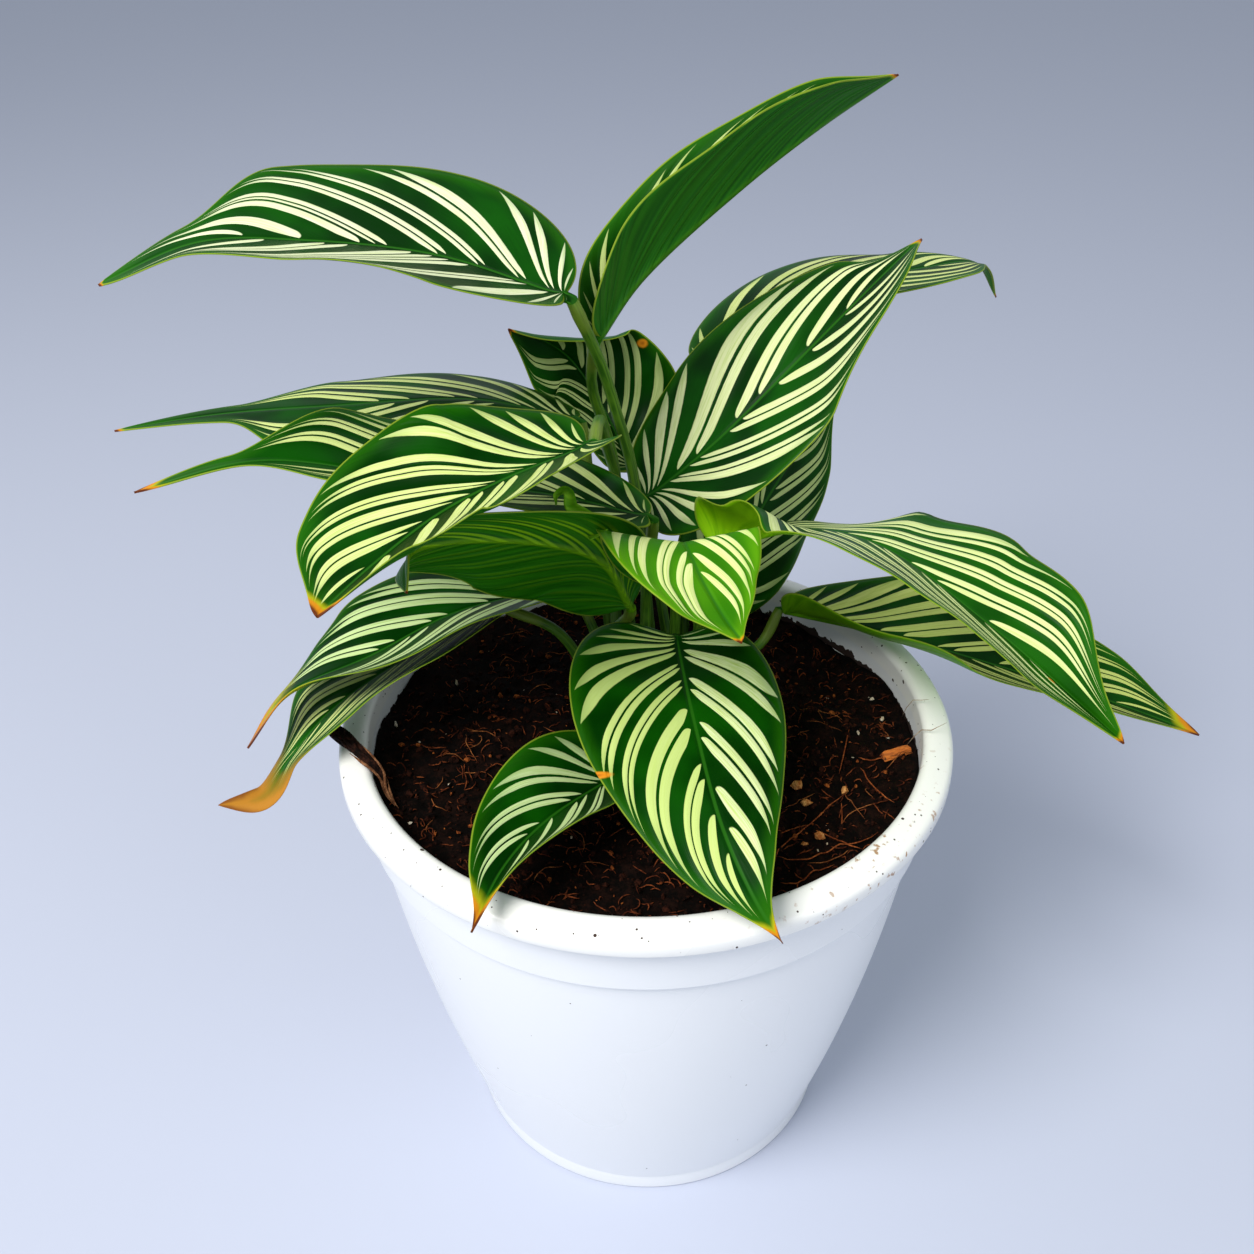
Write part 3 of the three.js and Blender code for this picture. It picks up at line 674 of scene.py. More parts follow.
def along(keys, s):
    """Value at s through keys spread evenly from the blade's base to its tip."""
    keys = np.asarray(keys, float)
    scaled = np.clip(s, 0, 1) * (len(keys) - 1)
    i = np.minimum(np.floor(scaled), len(keys) - 2).astype(int)
    return keys[i] + (keys[i + 1] - keys[i]) * smooth(scaled - i)


def outline(s, leaf):
    """Half width as a share of the widest: round base, pointed tip."""
    taper = 0.5 * (1 - leaf["broadest"]) / leaf["broadest"]
    share = np.sqrt(s / leaf["broadest"]) * ((1 - s) / (1 - leaf["broadest"])) ** taper
    start, narrowing = leaf["tail"]
    return share * (1 - narrowing * smooth((s - start) / TAIL_EASE))


def direction(azimuth, elevation):
    a, e = math.radians(azimuth), math.radians(elevation)
    return np.array([math.cos(a) * math.cos(e), math.sin(a) * math.cos(e), math.sin(e)])


def midrib_frames(leaf):
    """Tracks along the midrib: centre, heading, face and left side. Notes its length too."""
    spots, headings, leaf["length"] = curve_through(leaf["midrib"], MIDRIB_MARKS)
    towards = direction(*leaf["faces"])
    face = towards - (headings @ towards)[:, None] * headings
    face /= np.linalg.norm(face, axis=1)[:, None]
    turn = np.radians(along(leaf["twist"], np.linspace(0, 1, MIDRIB_MARKS)))[:, None]
    face = face * np.cos(turn) + np.cross(headings, face) * np.sin(turn)
    return spots, headings, face, np.cross(face, headings)


WAVE_HEIGHT = 0.6
WAVES = 2.6
WAVE_START = 0.1
WAVE_LAG = 0.37


def blade_surface(leaf, s, t):
    """Middle surface of the blade, its normals, its half widths and the midrib's tracks."""
    frames = midrib_frames(leaf)
    marks = np.linspace(0, 1, MIDRIB_MARKS)

    def read(track, where):
        return np.stack([np.interp(where, marks, track[:, k]) for k in range(3)], -1)

    def by_half(right, left):
        return np.where(t[None] < 0, right, left)

    def bends(measure):
        """Folds or curls of the two halves, for every point of the blade."""
        return by_half(*(along(leaf[half][measure], s)[:, None] for half in ("right", "left")))

    share = outline(s, leaf)[:, None]
    reach = np.abs(t)[None]
    back = leaf["lobe"] * reach**2 * share * np.exp(-s[:, None] / LOBE_LENGTH)
    where = s[:, None] - back / leaf["length"]
    inside = np.clip(where, 0, 1)
    beyond = ((where - inside) * leaf["length"])[..., None]
    centre = read(frames[0], inside) + read(frames[1], inside) * beyond
    face = read(frames[2], inside)
    side = read(frames[3], inside)
    width = by_half(leaf["right"]["width"], leaf["left"]["width"]) * share
    width = np.maximum(width, TIP_HALF_WIDTH)
    fold = bends("fold")
    curl = bends("curl")
    across = np.zeros_like(width)
    height = np.zeros_like(width)
    for i in range(CURL_STEPS):
        angle = np.radians(fold + curl * reach * (i + 0.5) / CURL_STEPS)
        across += np.cos(angle) * width * reach / CURL_STEPS
        height += np.sin(angle) * width * reach / CURL_STEPS
    phase = WAVES * s[:, None] + WAVE_START + by_half(WAVE_LAG, 0)
    height += WAVE_HEIGHT * share * reach**3 * np.sin(2 * math.pi * phase)
    surface = centre + side * (np.sign(t)[None] * across)[..., None] + face * height[..., None]
    normal = np.cross(np.gradient(surface, axis=1), np.gradient(surface, axis=0))
    size = np.linalg.norm(normal, axis=2)[..., None]
    normal = np.where(size > 1e-9, normal / np.maximum(size, 1e-9), face)
    middle = (len(s) // 2, len(t) // 2)
    normal *= np.sign(np.sum(normal[middle] * face[middle]))
    return surface, normal, width, frames


FIRST_VEIN = -0.03
LAST_VEIN = 0.87
VEIN_MARKS = 515
VEIN_BEND = 0.35
VEIN_SWEEP = 0.94
SWEEP_AT_MARGIN = 2.8
HUG_REACH = 0.12
BASE_SPREAD = 0.8
BASE_SPREAD_LENGTH = 0.06


def vein_start(leaf, s, t):
    """Where on the midrib, 0 to 1, the side vein through each point begins."""
    starts = np.linspace(FIRST_VEIN, 1, VEIN_MARKS)
    found = np.zeros((len(s), len(t)))
    for k, across in enumerate(t):
        half = 1 if across < 0 else 0
        reach = abs(across)
        bend = VEIN_BEND * math.log(1 - VEIN_SWEEP * reach) / SWEEP_AT_MARGIN
        swing = leaf["lean"][half] * ((1 - VEIN_BEND) * reach - bend)
        swing += leaf["hug"][half] * (1 - math.exp(-reach / HUG_REACH))
        arrives = starts + swing * (1 - BASE_SPREAD * np.exp(-starts / BASE_SPREAD_LENGTH))
        found[:, k] = np.interp(s, arrives, starts)
    return found


def stalk_rings(leaf, frames, angles):
    """Rings round the stalk from its foot up to the blade, turned with it, and its length."""
    base, above, face = (track[0] for track in frames[:3])
    x, y = leaf["root"]
    foot = [(x, y, SOIL_HEIGHT - STEM_DEPTH), (x, y, SOIL_HEIGHT + STALK_UPRIGHT)]
    end = tuple(base - above * STALK_END)
    spots, headings, length = curve_through([*foot, *leaf["stalk"], end], STALK_RINGS)
    rings = []
    for i in range(STALK_RINGS - 1, -1, -1):
        turn = Vector(above).rotation_difference(Vector(headings[i])).to_matrix()
        face = np.array(turn @ Vector(face))
        above = headings[i]
        side = np.cross(face, above)
        u = i / (STALK_RINGS - 1)
        radius = STALK_RADIUS_AT_SOIL + (STALK_RADIUS_AT_BLADE - STALK_RADIUS_AT_SOIL) * u
        from_blade = (1 - u) * length
        radius += JOINT_SWELL * math.exp(-((from_blade - JOINT_PLACE) / JOINT_LENGTH) ** 2)
        around = np.cos(angles)[:, None] * side + np.sin(angles)[:, None] * face
        rings.insert(0, spots[i] + radius * around)
    return np.array(rings), length


def skin_faces(ring_total, columns):
    """Faces between the rings and over the tip, with 0 for upper, 1 for under, 2 for stalk."""
    around = 2 * columns
    grid = np.arange(ring_total * around).reshape(ring_total, around)
    beside = np.roll(grid, -1, axis=1)
    faces = np.stack([grid[:-1], beside[:-1], beside[1:], grid[1:]], -1)
    kinds = np.zeros(faces.shape[:2], int)
    kinds[:, columns:] = 1
    kinds[:STALK_RINGS - 1] = 2
    last = grid[-1].tolist()
    cap = []
    for j in range(columns - 1):
        cap.append((last[j], last[around - 1 - j], last[around - 2 - j], last[j + 1]))
    return faces.reshape(-1, 4).tolist() + cap, kinds.reshape(-1).tolist() + [0] * len(cap)


# The distance to the margin that a stalk is given, more than the margin's finish reaches
NO_EDGE = 9


def write_marks(mesh, title, stalk, blade):
    """Keeps three measures a point on the mesh: the stalk's, then those of both blade faces."""
    both = [np.concatenate([values, values[:, ::-1]], axis=1) for values in blade]
    marks = np.concatenate([np.stack(stalk, -1), np.stack(both, -1)])
    layer = mesh.attributes.new(title, "FLOAT_VECTOR", "POINT")
    layer.data.foreach_set("vector", marks.reshape(-1).astype(np.float32))


COLUMN_CROWDING = 1.25


def leaf_mesh(name, leaf):
    """One closed skin: rings round the stalk from its foot, then rings round the blade."""
    s = FIRST_ROW + (1 - FIRST_ROW) * (0.5 - 0.5 * np.cos(np.linspace(0, math.pi, BLADE_ROWS)))
    s[-1] = LAST_ROW
    spread = np.linspace(-1, 1, 2 * HALF_COLUMNS + 1)[::-1]
    t = np.sign(spread) * np.abs(spread) ** COLUMN_CROWDING
    surface, normal, width, frames = blade_surface(leaf, s, t)
    rib_distance = width * np.abs(t)[None]
    edge_distance = width * (1 - np.abs(t)[None])
    rib = RIB_AT_BASE + (RIB_AT_TIP - RIB_AT_BASE) * s[:, None]
    rib = rib * np.exp(-((rib_distance / RIB_WIDTH) ** 2))
    joint = BASE_SWELL * np.sqrt(1 - t[None] ** 2) * np.exp(-s[:, None] * leaf["length"] / BASE_LENGTH)
    thin = HALF_BLADE_THICKNESS * (1 - 0.5 * np.abs(t[None]) ** 6)
    top = surface + normal * (thin + joint)[..., None]
    under = surface - normal * (thin + np.maximum(rib, joint))[..., None]
    blade = np.concatenate([top, under[:, ::-1]], axis=1)

    angles = np.arccos(RING_SPAN * t)
    angles = np.concatenate([angles, -angles[::-1]])
    stalk, length = stalk_rings(leaf, frames, angles)
    points = np.concatenate([stalk, blade]).reshape(-1, 3)
    faces, kinds = skin_faces(STALK_RINGS + BLADE_ROWS, len(t))
    mesh = bpy.data.meshes.new(name)
    mesh.from_pydata((points * MM).tolist(), [], faces)
    mesh.polygons.foreach_set("material_index", kinds)
    mesh.shade_smooth()

    still = np.zeros(stalk.shape[:2])
    up_stalk = still + np.linspace(-length, 0, STALK_RINGS)[:, None]
    vein = vein_start(leaf, s, t)
    whole = np.broadcast_to(s[:, None], vein.shape)
    across = np.broadcast_to(t[None], vein.shape)
    write_marks(mesh, "blade", (up_stalk, still + np.cos(angles), still), (whole, across, vein))
    distances = (rib_distance, edge_distance, np.zeros_like(vein))
    write_marks(mesh, "edges", (still, still + NO_EDGE, still), distances)
    return mesh


def new_group(name, inputs, outputs):
    """Empty node group with number inputs at their usual values, and with the named outputs."""
    group = bpy.data.node_groups.new(name, "ShaderNodeTree")
    for title, value in inputs.items():
        socket = group.interface.new_socket(title, in_out="INPUT", socket_type="NodeSocketFloat")
        socket.default_value = value
    for title in outputs:
        group.interface.new_socket(title, in_out="OUTPUT", socket_type="NodeSocketFloat")
    return group, group.nodes.new("NodeGroupInput").outputs, group.nodes.new("NodeGroupOutput").inputs


STRIPE_HALF_WIDTH = 0.25
RAGGEDNESS = 0.03
OPENING_LENGTH = 3
CLOSING_LENGTH = 6.5


def stripe_group():
    """Stripes along the side veins, each with its own start and end."""
    inputs = {"Vein": 0, "Across": 0, "Rib": 0, "Edge": 0, "Seed": 0, "Start": 1.0, "Finish": 1.4}
    tree, given, out = new_group("cream stripes", inputs, ["Stripe", "Streak", "Ridge"])
    left = calc(tree, "GREATER_THAN", given["Across"], 0)
    count = plus(tree, given["Vein"], 0.5)
    cell = calc(tree, "FLOOR", count)
    offset = minus(tree, calc(tree, "FRACT", count), 0.5)
    key = plus(tree, plus(tree, cell, times(tree, left, 57)), given["Seed"])
    luck = put(tree, "TexWhiteNoise", {"W": key}, noise_dimensions="1D").outputs["Color"]
    first_luck, second_luck, _ = put(tree, "SeparateXYZ", {0: luck}).outputs
    # The ends: each stripe begins a little way off the midrib and dies out short of the margin
    start = times(tree, given["Start"], plus(tree, 0.6, times(tree, first_luck, 0.8)))
    finish_at = times(tree, given["Finish"], plus(tree, 0.6, times(tree, second_luck, 0.9)))
    opening = rise(tree, minus(tree, given["Rib"], start), 0, OPENING_LENGTH)
    closing = rise(tree, minus(tree, given["Edge"], finish_at), 0, CLOSING_LENGTH)
    opening = calc(tree, "POWER", opening, 0.42)
    closing = calc(tree, "POWER", closing, 0.5)
    # Ragged edges and fine streaks, drawn out along the vein
    spot = put(tree, "CombineXYZ", {
        0: plus(tree, times(tree, count, 3), given["Seed"]),
        1: times(tree, given["Rib"], 0.2),
        2: times(tree, left, 9),
    }).outputs[0]
    ragged = minus(tree, grain(tree, spot, 1.0, 3), 0.5)
    streaks = put(tree, "CombineXYZ", {
        0: times(tree, count, 16),
        1: times(tree, given["Rib"], 0.16),
        2: plus(tree, times(tree, left, 9), given["Seed"]),
    }).outputs[0]
    streak = grain(tree, streaks, 1.0, 2)
    width = times(tree, times(tree, opening, closing), STRIPE_HALF_WIDTH)
    width = plus(tree, width, times(tree, ragged, RAGGEDNESS))
    inside = minus(tree, width, calc(tree, "ABSOLUTE", offset))
    begun = calc(tree, "GREATER_THAN", opening, 0.02)
    unfinished = calc(tree, "GREATER_THAN", closing, 0.02)
    present = times(tree, begun, unfinished)
    stripe = times(tree, rise(tree, inside, -0.012, 0.02), present)
    ridge = calc(tree, "COSINE", times(tree, offset, 2 * math.pi))
    tree.links.new(stripe, out["Stripe"])
    tree.links.new(streak, out["Streak"])
    tree.links.new(ridge, out["Ridge"])
    return tree


stripes = stripe_group()


def read_marks(tree):
    """The blade's own measures, in order: along, across, vein, rib, edge."""
    blade = put(tree, "Attribute", attribute_name="blade").outputs["Vector"]
    edges = put(tree, "Attribute", attribute_name="edges").outputs["Vector"]
    first = put(tree, "SeparateXYZ", {0: blade}).outputs
    second = put(tree, "SeparateXYZ", {0: edges}).outputs
    return first[0], first[1], first[2], second[0], second[1]


def by_side(tree, across, left, right):
    """One value on the leaf's left half, the other on its right half."""
    on_left = calc(tree, "GREATER_THAN", across, 0)
    return plus(tree, times(tree, on_left, minus(tree, left, right)), right)


MOST_STRIPES = 20
VEIN_CROWDING = 0.6
LOBE_STRIPES = [(-0.0095, -0.007), (-0.004, -0.0005)]


def stripe_count(tree, leaf, start, across):
    """Number of the stripe: whole at its middle, a quarter more or less at its two sides."""
    placed = calc(tree, "DIVIDE", minus(tree, start, FIRST_VEIN), LAST_VEIN - FIRST_VEIN)
    placed = calc(tree, "POWER", calc(tree, "MAXIMUM", placed, 0), VEIN_CROWDING)
    counts = []
    for row in (leaf["left_stripes"], leaf["right_stripes"]):
        whole_row = LOBE_STRIPES + row
        keys = [(whole_row[0][0] - 0.02, 0)]
        for number, (near, far) in enumerate(whole_row):
            keys += [(near, number + 0.5 - STRIPE_HALF_WIDTH), (far, number + 0.5 + STRIPE_HALF_WIDTH)]
        keys.append((whole_row[-1][1] + 0.04, len(whole_row)))
        steps = put(tree, "FloatCurve", {"Value": placed})
        curve = steps.mapping.curves[0]
        for _ in keys[2:]:
            curve.points.new(0.5, 0.5)
        for point, (vein, number) in zip(curve.points, keys):
            share = (vein - FIRST_VEIN) / (LAST_VEIN - FIRST_VEIN)
            point.location = (share**VEIN_CROWDING, number / MOST_STRIPES)
            point.handle_type = "VECTOR"
        steps.mapping.extend = "HORIZONTAL"
        steps.mapping.update()
        counts.append(times(tree, steps.outputs[0], MOST_STRIPES))
    return minus(tree, by_side(tree, across, *counts), 0.5)


def browned(tree, colour, leaf, along_it, across, where):
    """The dry tip, yellow then brown, and burnt spots on the margin."""
    uneven = minus(tree, grain(tree, where, 160, 2), 0.5)
    yellow, brown = leaf["tip"]
    yellowed, ochred, dried = leaf["dry"]
    slant = times(tree, minus(tree, calc(tree, "ABSOLUTE", across), 0.5), yellow * 0.5)
    place = plus(tree, times(tree, uneven, yellow * 0.4), plus(tree, along_it, slant))
    ochre = yellow * 0.45 + brown * 0.55
    colour = tint(tree, rise(tree, place, 1 - yellow * 1.3, 1 - yellow * 0.8), colour, yellowed)
    colour = tint(tree, rise(tree, place, 1 - yellow * 0.9, 1 - ochre), colour, ochred)
    colour = tint(tree, rise(tree, place, 1 - ochre * 0.9, 1 - brown * 0.5), colour, dried)
    for s, t, size, slim in leaf["burns"]:
        far = times(tree, minus(tree, along_it, s), leaf["length"] / slim)
        out = times(tree, minus(tree, across, t), 30)
        away = plus(tree, distance(tree, far, out), times(tree, uneven, 2))
        spot = fall(tree, away, size * 0.55, size)
        core = fall(tree, away, 0, size * 0.45)
        colour = tint(tree, spot, colour, screen(220, 138, 30))
        colour = tint(tree, times(tree, core, 0.6), colour, screen(150, 70, 18))
    return colour


VEIN_RELIEF = 0.0005
margin_yellow = screen(150, 172, 48)


def upper_finish(name, leaf):
    made, tree, shader = finish(name + " upper face")
    along_it, across, vein, rib, edge_gap = read_marks(tree)
    where = put(tree, "TexCoord").outputs["Object"]
    vein = stripe_count(tree, leaf, vein, across)
    start, end = leaf["ends"]
    given = {"Vein": vein, "Across": across, "Rib": rib, "Edge": edge_gap}
    given.update({"Seed": leaf["seed"], "Start": start, "Finish": end})
    stripe, streak, ridge = put(tree, "Group", given, node_tree=stripes).outputs
    cloud = grain(tree, where, 38, 2)
    green = tint(tree, rise(tree, cloud, 0.35, 0.7), leaf["deep"], leaf["green"])
    near_edge = fall(tree, edge_gap, 0.5, 6)
    green = tint(tree, times(tree, near_edge, 0.4), green, leaf["fresh"])
    green = tint(tree, times(tree, rise(tree, along_it, 0.82, 1), leaf["fresh_tail"]), green, leaf["fresh"])
    green = tint(tree, times(tree, rise(tree, streak, 0.5, 0.75), 0.22), green, leaf["deep"])
    cream = tint(tree, rise(tree, streak, 0.35, 0.75), leaf["cream"], leaf["pale"])
    cream = tint(tree, by_side(tree, across, *leaf["yellower"]), cream, leaf["pale"])
    fading = fall(tree, edge_gap, 2, 8)
    cream = tint(tree, times(tree, fading, 0.35), cream, leaf["fresh"])
    colour = tint(tree, stripe, green, cream)
    rib_line = fall(tree, rib, 0.25, 0.75)
    colour = tint(tree, times(tree, rib_line, 0.75), colour, leaf["rib"])
    margin = fall(tree, edge_gap, 0.25, 0.55)
    colour = tint(tree, times(tree, margin, 0.7), colour, margin_yellow)
    colour = browned(tree, colour, leaf, along_it, across, where)
    dull = plus(tree, times(tree, cloud, 0.16), 0.3)
    dull = plus(tree, dull, times(tree, stripe, 0.08))
    quilt = times(tree, ridge, times(tree, rise(tree, rib, 0.5, 6), rise(tree, edge_gap, 0.3, 5)))
    height = plus(tree, times(tree, quilt, 0.5), times(tree, streak, 0.18))
    groove = times(tree, fall(tree, rib, 0.2, 1.6), -0.8)
    dress(tree, shader, colour, dull, plus(tree, height, groove), VEIN_RELIEF, 0.7)
    shader.inputs["Specular IOR Level"].default_value = 0.08
    return made


def lower_finish(name, leaf):
    made, tree, shader = finish(name + " underside")
    along_it, across, vein, rib, edge_gap = read_marks(tree)
    where = put(tree, "TexCoord").outputs["Object"]
    vein = stripe_count(tree, leaf, vein, across)
    fine = put(tree, "CombineXYZ", {
        0: times(tree, vein, 5),
        1: times(tree, rib, 0.05),
        2: across,
    }).outputs[0]
    veins = grain(tree, fine, 1.0, 1)
    bands = calc(tree, "COSINE", times(tree, vein, 2 * math.pi))
    green = tint(tree, rise(tree, veins, 0.3, 0.7), leaf["under"], leaf["under_light"])
    strength = by_side(tree, across, *leaf["shows"])
    shows = times(tree, rise(tree, bands, 0.1, 0.9), rise(tree, edge_gap, 2, 8))
    green = tint(tree, times(tree, shows, strength), green, leaf["under_pale"])
    rib_line = fall(tree, rib, 0.5, 1.5)
    colour = tint(tree, times(tree, rib_line, 0.4), green, leaf["under_pale"])
    margin = fall(tree, edge_gap, 0.28, 0.7)
    colour = tint(tree, times(tree, margin, 0.7), colour, margin_yellow)
    colour = browned(tree, colour, leaf, along_it, across, where)
    dull = plus(tree, times(tree, veins, 0.15), 0.34)
    height = plus(tree, times(tree, veins, 0.35), times(tree, bands, 0.35))
    dress(tree, shader, colour, dull, height, VEIN_RELIEF, 0.6)
    shader.inputs["Specular IOR Level"].default_value = 0.12
    return made


def stalk_finish(name, leaf):
    made, tree, shader = finish(name + " stalk")
    along_it, across, _, _, _ = read_marks(tree)
    spot = put(tree, "CombineXYZ", {
        0: times(tree, across, 4),
        1: times(tree, along_it, 0.05),
    }).outputs[0]
    lines = grain(tree, spot, 1.6, 2)
    colour = tint(tree, rise(tree, lines, 0.3, 0.7), leaf["stem"], leaf["stem_light"])
    joint = fall(tree, calc(tree, "ABSOLUTE", plus(tree, along_it, JOINT_PLACE)), 4, 9)
    colour = tint(tree, times(tree, joint, 0.5), colour, leaf["joint"])
    # Painted shade: the stalk is darkened towards its foot in the soil, where it lies in the shade under
    # the leaves
    foot = rise(tree, times(tree, along_it, -1), 30, 90)
    colour = tint(tree, times(tree, foot, 0.35), colour, screen(40, 60, 20))
    dull = plus(tree, times(tree, lines, 0.2), 0.32)
    dress(tree, shader, colour, dull, lines, 0.0003, 0.5)
    shader.inputs["Specular IOR Level"].default_value = 0.3
    return made


def blade_half(width, fold, curl):
    """Half of a blade: millimetres wide, and degrees folded up and curled on, base to tip."""
    return {"width": width, "fold": fold, "curl": curl if isinstance(curl, list) else [curl, curl]}


def grow(name, **values):
    """Makes one leaf. The values not given are those of a dark and evenly striped one."""
    leaf = {
        "broadest": 0.38,
        "lobe": 12,
        "twist": [0, 0],
        "tail": (0.78, 0.35),
        "stalk": [],
        "lean": (0.6, 0.6),
        "hug": (0, 0),
        "left_stripes": [
            (0.004, 0.009), (0.014, 0.022), (0.05, 0.068), (0.073, 0.09), (0.14, 0.17), (0.178, 0.21),
            (0.265, 0.3), (0.31, 0.35), (0.41, 0.45), (0.46, 0.5), (0.57, 0.62), (0.63, 0.67), (0.76, 0.8),
        ],
        "right_stripes": [
            (0.006, 0.012), (0.02, 0.03), (0.07, 0.09), (0.095, 0.12), (0.18, 0.21), (0.22, 0.255),
            (0.32, 0.36), (0.37, 0.41), (0.48, 0.52), (0.535, 0.58), (0.66, 0.7), (0.715, 0.75),
        ],
        "seed": 1,
        "ends": (1.0, 1.4),
        "tip": (0.02, 0.008),
        "dry": (screen(170, 170, 22), screen(208, 134, 26), screen(104, 50, 20)),
        "burns": [],
        "deep": screen(2, 45, 1),
        "green": screen(10, 77, 2),
        "fresh": screen(44, 116, 6),
        "fresh_tail": 0.2,
        "cream": screen(220, 232, 154),
        "pale": screen(194, 214, 112),
        "yellower": (0, 0),
        "rib": screen(40, 104, 20),
        "under": screen(14, 78, 3),
        "under_light": screen(32, 104, 8),
        "under_pale": screen(76, 146, 16),
        "shows": (0.12, 0.12),
        "stem": screen(44, 92, 14),
        "stem_light": screen(92, 138, 30),
        "joint": screen(132, 146, 52),
        **values,
    }
    mesh = leaf_mesh(name, leaf)
    for make_finish in (upper_finish, lower_finish, stalk_finish):
        mesh.materials.append(make_finish(name, leaf))
    piece = set_out(name + "_grown", mesh)
    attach(piece, "root")
    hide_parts(name)


# Darker, greyer stripe colours for the leaves that sit in shade: painted shade
painted_shade_stripes = {"cream": screen(200, 216, 142), "pale": screen(172, 196, 112)}
cool_stripes = {"cream": screen(212, 234, 170), "pale": screen(184, 214, 128)}

# Upper left leaf, held out level on a tall stalk, its tail turned over
grow(
    "leaf_01",
    root=(3, 22),
    stalk=[(-3, 27, 250), (-8, 24, 274), (-12, 18, 292)],
    midrib=[(-22, 2, 320), (-57, 8, 330), (-94, 4, 336), (-120, -3, 338), (-150, -4, 327)],
    faces=(262, 71),
    left=blade_half(34, [20, 20, 4], 16),
    right=blade_half(35, [10, 8, 2], -5),
    broadest=0.41,
    tail=(0.6, 0.6),
    seed=11,
    lean=(0.5, 0.49),
    left_stripes=[
        (0.01, 0.028), (0.062, 0.08), (0.084, 0.1), (0.18, 0.215), (0.225, 0.25), (0.26, 0.29),
        (0.3, 0.345), (0.43, 0.47), (0.476, 0.52), (0.6, 0.65),
    ],
    right_stripes=[
        (0.008, 0.014), (0.019, 0.026), (0.061, 0.079), (0.083, 0.098), (0.155, 0.172), (0.176, 0.193),
        (0.238, 0.259), (0.262, 0.284), (0.364, 0.388), (0.392, 0.406), (0.416, 0.45), (0.525, 0.58),
        (0.63, 0.68),
    ],
    cream=screen(230, 236, 198),
    pale=screen(208, 222, 156),
    tip=(0.012, 0.008),
)

# Upper right leaf, still half rolled, with its underside to the front
grow(
    "leaf_02",
    root=(-4, 30),
    stalk=[(-10, 42, 249), (-16, 34, 279)],
    midrib=[(-13, 22, 300), (0, 38, 313), (31, 53, 336), (56, 65, 351), (81, 79, 362.9)],
    faces=(171, 62),
    twist=[0, 0, 10],
    left=blade_half(21, [75, 58, 68], 4),
    right=blade_half(22, [68, 62, 64], -9),
    broadest=0.39,
    lobe=6,
    tail=(0.8, 0.33),
    seed=12,
    shows=(0.05, 0.05),
)

# Large upright leaf on the right
grow(
    "leaf_03",
    root=(10, 36),
    midrib=[(2, 48, 231), (25, 46, 253), (52, 51, 280), (77, 53, 307), (91, 64, 316)],
    faces=(227, 45),
    twist=[0, 0, -18],
    left=blade_half(35, [8, 6, 4], -8),
    right=blade_half(35, [10, 13, 16], 6),
    lobe=17,
    seed=13,
    lean=(0.75, 0.6),
    left_stripes=[
        (0.004, 0.013), (0.018, 0.029), (0.069, 0.12), (0.138, 0.2), (0.288, 0.352), (0.372, 0.43),
        (0.538, 0.61), (0.68, 0.75),
    ],
    right_stripes=[
        (0.004, 0.009), (0.014, 0.021), (0.028, 0.036), (0.062, 0.083), (0.086, 0.101), (0.134, 0.159),
        (0.169, 0.195), (0.27, 0.308), (0.316, 0.36), (0.44, 0.497), (0.555, 0.61), (0.68, 0.73),
    ],
    cream=screen(226, 234, 176),
    pale=screen(204, 220, 142),
    tip=(0.025, 0.012),
)

# Leaf behind the upright one, with a hooked tip
grow(
    "leaf_04",
    root=(15, 50),
    midrib=[(21, 82, 267), (56, 93, 288), (99, 103, 293), (125, 117, 290), (137, 130, 273)],
    faces=(232, 72),
    left=blade_half(30, [4, -5, 10], -21),
    right=blade_half(30, [10, 17, 9], 6),
    tail=(0.66, 0.85),
    seed=14,
    left_stripes=[
        (0.02, 0.035), (0.07, 0.1), (0.115, 0.15), (0.22, 0.28), (0.36, 0.41), (0.5, 0.57), (0.6, 0.66),
        (0.72, 0.79),
    ],
    right_stripes=[
        (0.02, 0.035), (0.07, 0.1), (0.14, 0.18), (0.25, 0.3), (0.37, 0.42), (0.5, 0.56), (0.63, 0.68),
    ],
)

# Shaded leaf low behind the upright one, its stripes darkened with painted shade
grow(
    "leaf_05",
    root=(23, 44),
    midrib=[(21, 50, 182), (31, 53, 198), (41, 59, 216), (54, 71, 233), (71, 88, 249)],
    faces=(306, 25),
    left=blade_half(28, [14, 2, 10], -3),
    right=blade_half(28, [11, -3, 9], -12),
    lobe=11,
    seed=15,
    **painted_shade_stripes,
)

# Back leaf in the middle, its stripes darkened with painted shade
grow(
    "leaf_06",
    root=(3, 44),
    midrib=[(-4, 76, 228), (-16, 98, 245), (-26, 104, 259), (-35, 95, 271), (-47, 83, 280)],
    faces=(300, 8),
    twist=[0, 0, -37],
    left=blade_half(29, [14, 28, 19], 26),
    right=blade_half(31, [7, 28, 45], 28),
    seed=16,
    left_stripes=[
        (0.006, 0.014), (0.022, 0.034), (0.06, 0.085), (0.095, 0.12), (0.2, 0.23), (0.24, 0.27),
        (0.33, 0.36), (0.37, 0.4), (0.5, 0.54), (0.55, 0.6),
    ],
    right_stripes=[
        (0.008, 0.016), (0.04, 0.06), (0.1, 0.13), (0.155, 0.19), (0.26, 0.3), (0.31, 0.35), (0.42, 0.46),
        (0.48, 0.53), (0.62, 0.67),
    ],
    **painted_shade_stripes,
    burns=[(0.463, -0.9, 2.8, 0.8)],
)

